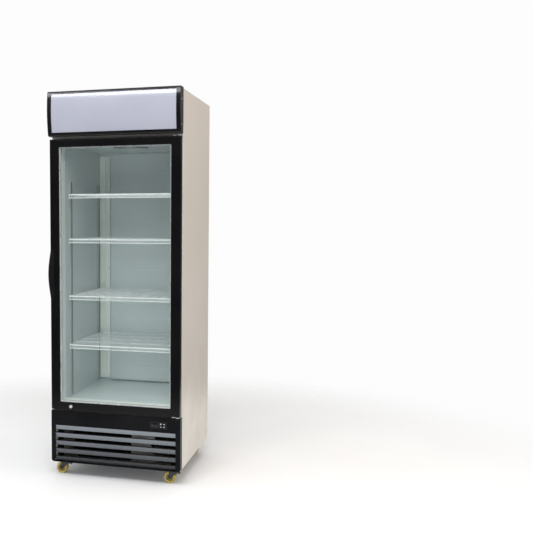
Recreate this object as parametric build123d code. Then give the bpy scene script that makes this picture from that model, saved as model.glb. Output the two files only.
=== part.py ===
from build123d import *
import math
import os

os.makedirs("parts", exist_ok=True)

# A one-door upright display refrigerator: insulated cabinet, hinged glass door, lit sign box above the
# door, black louvred panel below it, four wire shelves and four casters. Millimetres, +Z up, +X to the
# right of someone facing the door. Heights are above the floor. Shapes are drawn with Y = 0 on the
# cabinet's front face and +Y to the back, and are moved as they are saved so that the origin is on the
# floor under the middle of the object's depth.

# ---- cabinet ----
CAB_W = 698.0            # outside width of the cabinet
CAB_D = 646.0            # front face to back face of the cabinet
CAB_TOP = 2000.0         # top of the cabinet
WHEEL_R = 30.0           # caster wheel radius
CASTER_OVER = 25.0       # underside of the cabinet above the wheels' tops
CAB_BOTTOM = 2 * WHEEL_R + CASTER_OVER
BAY_H = 270.0            # height of the machine bay with its panel
SIDE_WALL = 55.0         # thickness of a side wall
SHEET = 1.0              # painted steel sheet
BEND_R = 0.9             # outside radius of the side panels' folds
REAR_RETURN = 20.0       # width of the side panels' rear flange
OPEN_W = CAB_W - 2 * SIDE_WALL   # clear width of the front opening
LINER_T = 3.0            # liner wall and breaker strip thickness
BREAKER_D = 38.0         # how far the breaker strip runs back
STEP = 5.0               # liner floor and ceiling lie this far outside the opening
BACK_WALL = 46.0         # outside back to the liner's inner face
CHAMBER_TOP = CAB_TOP - 50.0     # inside top of the cooling chamber
CHAMBER_FRONT = 60.0     # inside front of the cooling chamber
SEAM = 0.3               # visible seam between sheets

# ---- sign box ----
HEADER_W = CAB_W + 2.0   # width over the end caps
HEADER_H = 226.0         # height of the sign box
HEADER_TOP = CAB_TOP + 6.0       # top of the sign box
HEADER_BOTTOM = HEADER_TOP - HEADER_H
HEADER_EDGE_LOW = 53.0   # depth at the lower front edge
HEADER_EDGE_HIGH = 58.0  # depth at the upper front edge
HEADER_BULGE = 66.0      # depth at the crown of the curved front
HEADER_CORNER = 9.0      # rounding of the front edges in profile
HEADER_WALL = 2.0        # wall of rails and caps
HEADER_GAP = 0.3         # sign box to cabinet face
CAP_FACE = 22.0          # width of an end cap's front lip
RAIL_LOW = 18.0          # height of the lower rail's face
RAIL_HIGH = 14.0         # height of the upper rail's face
CAP_SCREWS = (62.0, 40.0)        # end cap screws, below the top and above the bottom
LENS_T = 2.5             # lens thickness
LENS_TUCK = 7.0          # how far the lens runs under rails and caps
LAMP_R = 8.0             # LED tube radius
LAMP_SHARES = (0.3, 0.7)         # heights of the tubes, as shares of the sign box
LAMP_FOOT = (12.0, 10.0)         # lamp holder width and height

# ---- door and opening ----
GRILLE_TOP = CAB_BOTTOM + BAY_H  # upper edge of the lower panel
DOOR_W = CAB_W - 4.0     # door width
DOOR_BOTTOM = GRILLE_TOP + 8.0   # lower edge of the door
DOOR_TOP = HEADER_BOTTOM - 14.0  # upper edge of the door
OPEN_BOTTOM = DOOR_BOTTOM + 47.0 # clear opening, lower edge
OPEN_TOP = DOOR_TOP - 29.0       # clear opening, upper edge
FOAM_BOTTOM = GRILLE_TOP - 10.0  # underside of the insulated floor
DOOR_FRONT = 41.0        # door face in front of the cabinet face
DOOR_GAP = 10.0          # cabinet face to the back of the frame, filled by the gasket
STILE = 50.0             # width of the upright rails
DOOR_RAIL_LOW = 41.0     # height of the lower rail
DOOR_RAIL_HIGH = 40.0    # height of the upper rail
FRAME_WALL = 2.0         # wall of the frame extrusion
FRAME_LIP = 5.0          # thickness of the lip in front of the glass
FRAME_ROUND = 4.0        # rounding of the frame's front edges
SIGHT_CHAMFER = 2.0      # bevel round the sight opening
MITRE_GAP = 0.25         # hairline at the mitred corners
PANE_T = 4.0             # thickness of each pane
PANE_SPACE = 12.0        # gas space between the panes
PANE_TUCK = 10.0         # how far the glass runs into the frame
SPACER_SHOWS = 4.0       # spacer seen inside the sight edge
GASKET_W = 14.0          # gasket width
GASKET_IN = 17.0         # door edge to gasket, at the sides
GASKET_TOP = 7.0         # door edge to gasket, at the top
GASKET_LOW = 26.0        # door edge to gasket, at the bottom
GASKET_CLEAR = 0.3       # gasket to cabinet face
HANDLE_Z = (DOOR_BOTTOM + DOOR_TOP) / 2 + 7.0    # middle of the grip
HANDLE_L = 257.0         # length of the grip
HANDLE_OUT = 11.0        # grip beyond the door's edge
HANDLE_PROUD = 9.0       # grip in front of the door's face
HANDLE_ON = 22.0         # how far the grip reaches onto the door's face
HANDLE_ROUND = 8.0       # rounding of the grip's section

# ---- hinges and lock ----
PIVOT_IN = 14.0          # door edge to hinge axis
PIVOT_BACK = 20.0        # hinge axis in front of the frame's back face
PIN_R = 4.0              # hinge pin radius
FIT = 0.05               # radial clearance of a running fit
BUSH_R = 7.0             # outside radius of a hinge bush
BUSH_L = 20.0            # length of a hinge bush
PIN_L = 18.0             # pin length inside the bush
BRACKET_T = 4.0          # hinge bracket thickness
BRACKET_GAP = 2.0        # bracket to door
BRACKET_LEG = 3.0        # thickness of the bracket's upright leg
BRACKET_LEG_L = 42.0     # length of the upright leg
BRACKET_W = 42.0         # width of the bracket
BRACKET_NOSE = 12.0      # radius of the bracket's nose round the pin
BRACKET_SCREWS = (8.0, 26.0)     # its screws: in from its sides, and along its leg
LEG_CLEAR = 6.0          # space past the end of a bracket's leg
LOCK_X = -(DOOR_W / 2 - 109.0)   # key lock, across the door
LOCK_Z = DOOR_BOTTOM + 19.0      # key lock height
LOCK_R = 9.0             # radius of the lock's face
LOCK_SHANK_R = 5.0       # radius of the lock's shank
LOCK_HEAD = 12.0         # length of the lock's head inside the frame
KEYWAY = (2.0, 9.0, 2.5)         # width, height and depth of the keyway
LOCK_PROUD = 2.5         # lock face in front of the door
CAM_L = 33.0             # lock cam, axis to tip
CAM_W = 8.0              # lock cam width
CAM_T = 2.0              # lock cam thickness
CAM_CLEAR = 0.4          # cam to the frame's back face

# ---- lower panel ----
GRILLE_W = CAB_W + 2.0   # width of the lower panel
GRILLE_BOTTOM = CAB_BOTTOM - 5.0 # lower edge of the panel
GRILLE_D = 40.0          # panel face in front of the cabinet face
GRILLE_WALL = 3.0        # panel wall
GRILLE_GAP = 1.0         # panel to cabinet face
GRILLE_CORNER = 14.0     # rounding of the panel's lower corners
GRILLE_EDGE = 5.0        # rounding of the panel's front edges
LOUVER_W = GRILLE_W - 50.0       # louver length
LOUVER_PITCH = 41.7      # louver to louver
LOUVER_H = 24.0          # face height of a louver
LOUVER_TOP = GRILLE_TOP - 77.0   # upper edge of the highest louver
LOUVER_FOOT = 6.0        # least height of panel below the lowest louver
LOUVER_COUNT = int((LOUVER_TOP - GRILLE_BOTTOM - LOUVER_H - LOUVER_FOOT) // LOUVER_PITCH) + 1
LOUVER_LEAN = 9.0        # how far a louver's lower edge is set back
LOUVER_T = 2.5           # louver thickness
LOUVER_SHELF = 22.0      # depth of a louver's upper web
LOUVER_END = 0.2         # louver end to the window's edge
CAM_SLOT_CLEAR = 1.5     # lock cam to its slot in the panel's upper wall
CONTROL_X = GRILLE_W / 2 - 114.0 # middle of the controller
CONTROL_Z = GRILLE_TOP - 39.0    # middle of the controller
CONTROL_W = 92.0         # controller width
CONTROL_H = 38.0         # controller height
CONTROL_T = 3.0          # controller front in front of the panel
DISPLAY_IN = (7.0, 3.0, 8.0)     # display recess: from the left end, from the middle, from the edges
POCKET_IN = (6.0, 3.0)   # opening behind the controller: from its left end, from its edges
KEY_X = 22.0             # middle of the key block, from the controller's middle
KEY_PITCH_X = 17.0       # key to key, across
KEY_PITCH_Z = 15.0       # key to key, up
KEY_W = 11.0             # key width
KEY_H = 8.0              # key height
KEY_CLEAR = 0.3          # key to bezel, all round
KEY_PROUD = 1.2          # key in front of the bezel
KEY_TRAVEL = 1.2         # how far a key is pressed in

# ---- shelves ----
SHELF_W = OPEN_W - 26.0  # width over the side wires
SHELF_FRONT = 39.5       # front of the shelf
SHELF_REAR = 30.0        # back of the shelf to the liner
SHELF_SHARES = (0.21, 0.4044, 0.628, 0.803)      # height of each shelf, as a share of the cavity
FRAME_WIRE_R = 3.0       # perimeter wire
DECK_WIRE_R = 1.5        # deck wire
LOWER_WIRE_R = 2.0       # lower front wire
CROSS_WIRE_R = 2.4       # wires across, under the deck
SHELF_DROP = 24.0        # height of the front edge
WIRE_PITCH = 12.3        # deck wire to deck wire
WIRE_SINK = 0.5          # welded wires sink this far into each other
CROSS_WIRES = 3          # wires under the deck, front to back
PILASTER_FRONT = 96.0    # front edge of the front pilasters
PILASTER_REAR = 60.0     # front edge of the rear pilasters, from the liner's back
PILASTER_W = 30.0        # pilaster width
PILASTER_T = 6.0         # pilaster depth
PILASTER_WALL = 1.0      # pilaster sheet
SLOT_IN = 24.0           # pilaster edge to the middle of its slots
SLOT_PITCH = 13.0        # slot to slot
SLOT_RISE = 20.7         # lowest slot above the liner's floor
SLOTS_OVER = 5           # slots above the highest shelf
SLOT_W = 5.0             # slot width
SLOT_H = 8.0             # slot height
CLIP_L = 18.0            # how far a clip stands out of its pilaster
CLIP_W = 8.0             # clip width
CLIP_H = 8.0             # clip height
CLIP_CLEAR = 0.3         # shelf wire to clip
CLIP_TONGUE = 3.0        # how far a clip's tongue reaches into its slot
TONGUE_CLEAR = 0.2       # tongue to slot

# ---- cavity fittings ----
DUCT_W = OPEN_W - 136.0  # width of the back air duct
DUCT_D = 15.0            # depth of the back air duct
DUCT_T = 1.5             # duct sheet
DUCT_FOOT = 8.0          # air gap under the duct
LAMP_POST_IN = OPEN_W / 2 - 65.0 # inner edge of a lamp channel, from the middle
LAMP_LENS_IN = 1.0       # lens to the side wall
LAMP_LENS_R = 4.0        # rounding of the lens's front edges
LAMP_RIB_W = 18.0        # channel's raised rib
LAMP_LENS_W = 36.0       # lens width
LAMP_POST_D = 13.0       # channel depth with its lens
LAMP_RIB_D = 11.0        # rib's depth
LAMP_BASE = 3.0          # channel base thickness
LAMP_END = 16.0          # lamp channels stop this far from floor and ceiling
PANEL_T = 2.0            # ceiling panel thickness
GUARD_HOOPS = 3          # rings of the ceiling's fan guard
HOOP_W = 2.4             # width of a ring
SPOKE_W = 3.0            # width of the guard's cross bars
FAN_HUB_R = 24.0         # fan hub radius
FAN_HUB_H = 22.0         # fan hub height
FAN_BLADES = 5
SHAFT_R = 3.0            # fan shaft radius
SHAFT_L = 20.0           # fan shaft length inside its motor
FAN_CHORD = 46.0         # width of a blade before it is trimmed
FAN_TWIST = 28.0         # blade angle
BLADE_T = 1.6            # blade thickness
MOTOR_R = 34.0           # fan motor radius
MOTOR_H = 48.0           # fan motor length
MOTOR_GAP = 2.0          # hub to motor
STRAP_W = 22.0           # width of the strap that carries a motor
STRAP_T = 4.0            # strap thickness
STRAP_OUT = 15.0         # strap's legs beyond the blade tips
EVAP_D = 120.0           # evaporator depth
EVAP_REAR = 20.0         # evaporator to the liner's back
EVAP_HALF_H = 85.0       # half height of the evaporator
EVAP_IN = 69.0           # evaporator fins to the side walls
EVAP_FINS = 25
COND_FINS = 29
FIN_T = 1.2              # fin thickness
TUBE_R = 4.5             # coil tube radius
TUBE_OVER = 8.0          # coil tubes beyond the end fins

# ---- machine bay ----
BASE_T = 2.0             # base tray sheet
BASE_LIP = 22.0          # base tray upturned edge
COND_X = 254.0 - CAB_W / 2       # condenser fan axis across the bay
COND_FOOT = 19.0         # condenser above the tray
COND_HALF_W = 150.0      # half width of the condenser
COND_HALF_H = (FOAM_BOTTOM - CAB_BOTTOM) / 2 - 18.0      # half height of the condenser
COND_Z = CAB_BOTTOM + BASE_T + COND_FOOT + COND_HALF_H   # condenser fan axis height
COND_Y = 30.0            # front of the condenser
COND_D = 44.0            # depth of the condenser
SHROUD_GAP = 3.0         # condenser to its shroud
SHROUD_T = 2.0           # shroud sheet
SHROUD_RING = 5.0        # shroud opening beyond the blade tips
FAN_R = COND_HALF_H - 27.0       # blade tip radius of both fans
FAN_HOLE_R = FAN_R + 10.0        # fan opening in the ceiling
FAN_OFF = 8.0            # ceiling panel to the evaporator fan
BAY_FAN_OFF = 10.0       # shroud to the condenser fan
COMP_X = CAB_W / 2 - 169.0       # compressor, across
COMP_Y = CAB_D - 246.0   # compressor, back from the cabinet face
COMP_R = 84.0            # compressor shell radius
COMP_H = BAY_H - 94.0    # compressor shell height
COMP_ROUND = 38.0        # rounding of the shell's ends
COMP_SEAM = (3.0, 5.0, 0.55)     # weld seam: how proud, how high, and where on the shell
COMP_LEG = (9.0, 14.0, 12.0)     # rubber foot: radius, height below the plate, inset
COMP_PLATE = 5.0         # thickness of the compressor's foot plate
DRIP_BOX = (49.0, 259.0, 316.0, 106.0)   # condensate tray: two ends from the side, two from the back
DRIP_H = 34.0            # condensate tray height
DRIP_T = 2.0             # condensate tray wall
LINE_R = 4.0             # refrigerant line radius
LINE_BEND = 16.0         # refrigerant line bend radius
LINE_RISE = 24.0         # the line above the compressor
LINE_Y = 130.0           # the line's run across the bay
LINE_OUT = 40.0          # the line beyond the condenser
DRYER_R = 11.0           # filter dryer radius
DRYER_L = 100.0          # filter dryer length
DRYER_PLACE = (60.0, 120.0, 40.0)        # right of the compressor, behind the face, above the tray
CONTROL_BOX_W = 100.0    # control box, out from the side panel
CONTROL_BOX_Y = (95.0, 20.0)     # its two ends, from the cabinet's back
CONTROL_BOX_H = 46.0     # its height
GUARD_D = 10.0           # rear guard stands this far behind the cabinet
GUARD_W = CAB_W - 34.0   # rear guard width
GUARD_BOTTOM = CAB_BOTTOM + 5.0  # rear guard lower edge
GUARD_T = 1.5            # rear guard sheet
GUARD_EDGE = 14.0        # flat rim round the guard
GUARD_ROUND = 4.0        # rounding of the guard's raised middle
VENT_FIRST = 34.0        # lowest row of slots above the guard's edge
VENT_PITCH = 24.0        # row to row
VENT_H = 9.0             # slot height
VENT_W = 90.0            # slot length
VENT_COLUMNS = 5
VENT_MARGIN = 60.0       # guard's side to the first slot
INLET_X = 109.0 - CAB_W / 2      # mains inlet, across
INLET_Z = GUARD_BOTTOM + 60.0    # mains inlet height
INLET_R = 11.0           # mains inlet barrel radius
INLET_FLANGE = 5.0       # its flange, beyond the barrel
INLET_BORE = 4.5         # its cable bore
INLET_KEEP = (80.0, 32.0)        # no slots this near the inlet, across and up

# ---- casters ----
CASTER_X = CAB_W / 2 - 51.0      # swivel axis from the middle
CASTER_FRONT = 42.0      # front swivel axes behind the cabinet face
CASTER_REAR = CAB_D - CASTER_FRONT       # rear swivel axes behind the cabinet face
WHEEL_W = 34.0           # width over both treads
TREAD_W = 14.0           # width of one tread
TREAD_T = 7.0            # thickness of a tread
TREAD_ROUND = 5.0        # rounding of a tread's edges
HUB_DISH = 3.0           # how deep the hub's sides are dished
HUB_RIM = 4.0            # width of the hub's rim
HUB_BOSS = 4.0           # wall of the hub round the axle
TRAIL = 20.0             # axle behind the swivel axis
AXLE_R = 4.0             # axle radius
PLATE = 62.0             # caster plate side
PLATE_T = 3.0            # caster plate thickness
PLATE_ROUND = 6.0        # rounding of its corners
BOLT_CLEAR = 0.3         # bolt to the holes it passes through
BOLT_OVER = 6.0          # bolt end above the tray
PLATE_BOLT = 22.0        # bolt from the plate's middle, both ways
BOLT_R = 3.0             # caster bolt radius
BOLT_HEAD_R = 5.5
BOLT_HEAD_H = 4.0
RACE_R = 20.0            # ball race radius
RACE_H = 6.0             # ball race height
KINGPIN_R = 6.0          # swivel pin radius
PIN_HEAD = (3.0, 2.5)    # swivel pin's head: beyond the pin, and height
SWIVEL_CLEAR = 0.3       # fork to race and to the pin's head
CROWN_T = 9.5            # fork crown with its boss
CROWN_PLATE = (20.0, 4.0)        # half length and thickness of the crown's plate
LEG_TOP = (18.0, 6.0, 9.0)       # fork leg: rear of its top, its front step down and its slope
LEG_EYE = (7.5, 6.0, 8.0)        # fork leg round the axle: half width, below and above
FORK_T = 2.5             # fork leg thickness
FORK_CLEAR = 1.0         # wheel to fork leg
PEDAL_X = 14.0           # brake pivot in front of the swivel axis
PEDAL_Z = 2 * WHEEL_R - 4.0      # brake pivot height
PEDAL_PIN_R = 2.5        # brake pivot radius
PEDAL_R = 5.5            # brake hub radius
PEDAL_L = 20.0           # brake hub to pedal tip
PEDAL_W = 24.0           # pedal width
PEDAL_T = 3.0            # pedal thickness
PEDAL_TILT = 22.0        # pedal's slope at rest
NUT_R = 7.0              # axle nut radius
NUT_T = 3.5              # axle nut thickness
AXLE_OVER = 4.0          # axle beyond the fork

# ---- screws ----
CAP_SCREW = (3.6, 1.4)   # radius and height of the end caps' screw heads
HINGE_SCREW = (4.0, 1.8)         # hinge brackets
SIDE_SCREW = (2.6, 0.9)  # side panels
SIDE_SCREW_UP = (5.0, 17.0, 29.0)        # above the door's lower edge
SIDE_SCREW_Y = 12.0      # behind the cabinet face
LAMP_SCREW = (3.0, 1.4)  # lamp channels
LAMP_SCREW_IN = 14.0     # channel's end to its end screws
GUARD_SCREW = (4.0, 2.0) # rear guard
SCREW_IN = 7.0           # guard's edge to its screws

# ---- values that follow ----
HALF_W = CAB_W / 2
OPEN_HALF = OPEN_W / 2
LINER_HALF = OPEN_HALF + LINER_T
LINER_BACK = CAB_D - BACK_WALL
FLOOR_Z = OPEN_BOTTOM - STEP
CEILING_Z = OPEN_TOP + STEP
FRAME_BACK = -DOOR_GAP
DOOR_HALF = DOOR_W / 2
SIGHT_HALF = DOOR_HALF - STILE
SIGHT_LOW = DOOR_BOTTOM + DOOR_RAIL_LOW
SIGHT_HIGH = DOOR_TOP - DOOR_RAIL_HIGH
PIVOT_X = DOOR_HALF - PIVOT_IN
PIVOT_Y = FRAME_BACK - PIVOT_BACK
ORIGIN_SHIFT = -(CAB_D + GUARD_D - HEADER_BULGE) / 2
PILASTER_X = OPEN_HALF - PILASTER_T
PILASTER_YS = (PILASTER_FRONT, LINER_BACK - PILASTER_REAR)
SHELF_BACK = LINER_BACK - SHELF_REAR
SLOT_FIRST = FLOOR_Z + SLOT_RISE
CAVITY_H = CEILING_Z - FLOOR_Z
SHELF_STEPS = [round((share * CAVITY_H - SLOT_RISE) / SLOT_PITCH) for share in SHELF_SHARES]
SLOT_COUNT = SHELF_STEPS[-1] + 1 + SLOTS_OVER
SHELF_Z = [SLOT_FIRST + SLOT_PITCH * n + CLIP_H / 2 + CLIP_CLEAR + 2 * FRAME_WIRE_R
           + 2 * DECK_WIRE_R - 2 * WIRE_SINK for n in SHELF_STEPS]
EVAP_FRONT = LINER_BACK - EVAP_REAR - EVAP_D
FAN_Y = (CHAMBER_FRONT + EVAP_FRONT) / 2
FAN_Z = CEILING_Z + PANEL_T + FAN_OFF + FAN_HUB_H / 2
SHROUD_Y = COND_Y + COND_D + SHROUD_GAP
BAY_FAN_Y = SHROUD_Y + BAY_FAN_OFF + FAN_HUB_H / 2
CAM_REACH = math.hypot(CAM_L, CAM_W / 2)
CAM_SWING = math.sqrt(max(CAM_REACH ** 2 - (LOCK_Z - GRILLE_TOP) ** 2, 0.0)) + CAM_SLOT_CLEAR


def box(x0, x1, y0, y1, z0, z1):
    """Block between two corners."""
    centre = ((x0 + x1) / 2, (y0 + y1) / 2, (z0 + z1) / 2)
    return Pos(*centre) * Box(abs(x1 - x0), abs(y1 - y0), abs(z1 - z0))


def rod(start, end, radius):
    """Round bar from one point to another."""
    a = Vector(*start)
    b = Vector(*end)
    plane = Plane(origin=a, z_dir=(b - a))
    return extrude(plane * Circle(radius), (b - a).length)


def wire(start, end, radius):
    """Straight wire of eight flats from one point to another; radius is to the flats."""
    a = Vector(*start)
    b = Vector(*end)
    plane = Plane(origin=a, z_dir=(b - a))
    return extrude(plane * RegularPolygon(radius, 8, major_radius=False, rotation=22.5), (b - a).length)


def ring(x, z0, z1, inner_x, inner_z0, inner_z1, y0, y1):
    """Upright rectangular ring, centred across the cabinet."""
    return box(-x, x, y0, y1, z0, z1) - box(-inner_x, inner_x, y0, y1, inner_z0, inner_z1)


def fused(pieces):
    """One solid from pieces that touch or overlap."""
    first = pieces[0]
    return first.fuse(*pieces[1:]) if len(pieces) > 1 else first


def mirrored(piece):
    """The same piece on the other side of the cabinet."""
    return piece.mirror(Plane.YZ)


def save(name, *pieces):
    """Write one node, moved to the object's own frame."""
    solids = []
    for piece in pieces:
        solids.extend(piece.solids())
    moved = [solid.moved(Location((0, ORIGIN_SHIFT, 0))) for solid in solids]
    export_step(Compound(children=moved) if len(moved) > 1 else moved[0], f"parts/{name}.step")


# ---------------------------------------------------------------- cabinet shell
def make_shell():
    """Folded side panels, flat top and back, front rail, sill and breaker strip."""
    sheet_half = OPEN_HALF + LINER_T
    side = fused([
        box(HALF_W - SHEET, HALF_W, 0, CAB_D, CAB_BOTTOM, CAB_TOP),
        box(sheet_half, HALF_W, 0, SHEET, CAB_BOTTOM, CAB_TOP),
        box(HALF_W - REAR_RETURN, HALF_W, CAB_D - SHEET, CAB_D, CAB_BOTTOM, CAB_TOP),
    ])
    folds = [edge for edge in side.edges().filter_by(Axis.Z)
             if abs(edge.center().X - HALF_W) < SHEET / 2
             and min(abs(edge.center().Y), abs(edge.center().Y - CAB_D)) < SHEET / 2]
    side = fillet(folds, BEND_R)
    save("side_panels", side, mirrored(side))
    inside = HALF_W - SHEET
    save("top_panel", box(-inside, inside, SHEET, CAB_D - SHEET, CAB_TOP - SHEET, CAB_TOP))
    save("back_panel", box(-inside, inside, CAB_D - 2 * SHEET, CAB_D - SHEET, FOAM_BOTTOM, CAB_TOP - SHEET))
    rail = sheet_half - SEAM
    save("front_rails",
         box(-rail, rail, 0, SHEET, OPEN_TOP + LINER_T, CAB_TOP),
         box(-rail, rail, 0, SHEET, GRILLE_TOP - GRILLE_WALL, OPEN_BOTTOM - LINER_T))
    outer = (OPEN_BOTTOM - LINER_T, OPEN_TOP + LINER_T)
    bars = [
        box(-OPEN_HALF, OPEN_HALF, 0, BREAKER_D, outer[0], OPEN_BOTTOM),
        box(-OPEN_HALF, OPEN_HALF, 0, BREAKER_D, OPEN_TOP, outer[1]),
        box(OPEN_HALF, sheet_half, 0, BREAKER_D, *outer),
        box(-sheet_half, -OPEN_HALF, 0, BREAKER_D, *outer),
    ]
    save("breaker_strip", *bars)


def make_insulation():
    """Liner with its cooling chamber, and the foam slabs round it."""
    low_out = box(-LINER_HALF, LINER_HALF, BREAKER_D, LINER_BACK + LINER_T,
                  FLOOR_Z - LINER_T, CEILING_Z + LINER_T)
    high_out = box(-LINER_HALF, LINER_HALF, CHAMBER_FRONT - LINER_T, LINER_BACK + LINER_T,
                   FLOOR_Z, CHAMBER_TOP + LINER_T)
    low_in = box(-OPEN_HALF, OPEN_HALF, BREAKER_D, LINER_BACK, FLOOR_Z, CEILING_Z)
    high_in = box(-OPEN_HALF, OPEN_HALF, CHAMBER_FRONT, LINER_BACK, FLOOR_Z, CHAMBER_TOP)
    save("inner_liner", (low_out + high_out) - (low_in + high_in))
    inside = HALF_W - SHEET
    back = LINER_BACK + LINER_T
    rear = CAB_D - 2 * SHEET
    top = CAB_TOP - SHEET
    slabs = [
        box(LINER_HALF, inside, SHEET, rear, FOAM_BOTTOM, top),
        box(-inside, -LINER_HALF, SHEET, rear, FOAM_BOTTOM, top),
        box(-LINER_HALF, LINER_HALF, back, rear, FOAM_BOTTOM, top),
        box(-LINER_HALF, LINER_HALF, SHEET, back, FOAM_BOTTOM, FLOOR_Z - LINER_T),
        box(-LINER_HALF, LINER_HALF, SHEET, back, CHAMBER_TOP + LINER_T, top),
        box(-LINER_HALF, LINER_HALF, SHEET, CHAMBER_FRONT - LINER_T, CEILING_Z + LINER_T,
            CHAMBER_TOP + LINER_T),
    ]
    save("foam_body", *slabs)


# ---------------------------------------------------------------- sign box
def header_profile(inset):
    """Side view of the sign box: flat back, rounded corners and a bowed front, drawn on the YZ plane."""
    back = -HEADER_GAP - inset
    low = HEADER_BOTTOM + inset
    high = HEADER_TOP - inset
    front_low = -HEADER_EDGE_LOW + inset
    front_high = -HEADER_EDGE_HIGH + inset
    crown = -HEADER_BULGE + inset
    middle = (HEADER_BOTTOM + HEADER_TOP) / 2
    corner = max(HEADER_CORNER - inset, 1.0)
    outline = Polyline((front_low, low), (back, low), (back, high), (front_high, high))
    bow = ThreePointArc((front_high, high), (crown, middle), (front_low, low))
    face = make_face(outline.edges() + bow.edges())
    fronts = [v for v in face.vertices() if v.X < back - 1.0]
    return fillet(fronts, corner)


def header_slice(inset, x0, x1):
    """Part of the sign box's profile, drawn out from x0 to x1."""
    plane = Plane(origin=(x0, 0, 0), x_dir=(0, 1, 0), z_dir=(1, 0, 0))
    return extrude(plane * header_profile(inset), x1 - x0)


def make_header():
    """Rails, end caps, curved lens and LED tubes of the sign box."""
    half = HEADER_W / 2
    inner = half - CAP_FACE
    far = -2 * HEADER_BULGE
    notch = box(PIVOT_X - BRACKET_W, half, -BRACKET_LEG - 2, 0, HEADER_BOTTOM - 1,
                DOOR_TOP + BRACKET_GAP + BRACKET_T + BRACKET_LEG_L + LEG_CLEAR)
    tube = header_slice(0, -inner, inner) - header_slice(HEADER_WALL, -inner, inner)
    low_rail = tube & box(-inner, inner, far, 0, HEADER_BOTTOM, HEADER_BOTTOM + RAIL_LOW)
    high_rail = tube & box(-inner, inner, far, 0, HEADER_TOP - RAIL_HIGH, HEADER_TOP)
    save("header_rails", low_rail - notch, high_rail)
    cap = header_slice(0, inner, half) - header_slice(HEADER_WALL, inner, half - HEADER_WALL)
    rim = fillet(cap.faces().sort_by(Axis.X)[-1].outer_wire().edges(), HEADER_WALL * 0.9)
    save("header_end_caps", rim - notch, mirrored(rim))
    tuck = inner + LENS_TUCK
    skin = header_slice(HEADER_WALL, -tuck, tuck) - header_slice(HEADER_WALL + LENS_T, -tuck, tuck)
    window = box(-tuck, tuck, far, -HEADER_EDGE_LOW + HEADER_CORNER,
                 HEADER_BOTTOM + RAIL_LOW - LENS_TUCK, HEADER_TOP - RAIL_HIGH + LENS_TUCK - 2)
    save("sign_lens", skin & window)
    tubes = []
    foot_w, foot_h = LAMP_FOOT
    for share in LAMP_SHARES:
        z = HEADER_BOTTOM + share * (HEADER_TOP - HEADER_BOTTOM)
        y = -HEADER_GAP - 3 * LAMP_R / 2
        lamp = rod((-inner + LENS_TUCK, y, z), (inner - LENS_TUCK, y, z), LAMP_R)
        for x in (-inner / 2, inner / 2):
            foot = box(x - foot_w / 2, x + foot_w / 2, y + LAMP_R / 2, 0, z - foot_h / 2, z + foot_h / 2)
            lamp = lamp + foot
        tubes.append(lamp)
    save("header_lamps", *tubes)


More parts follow.
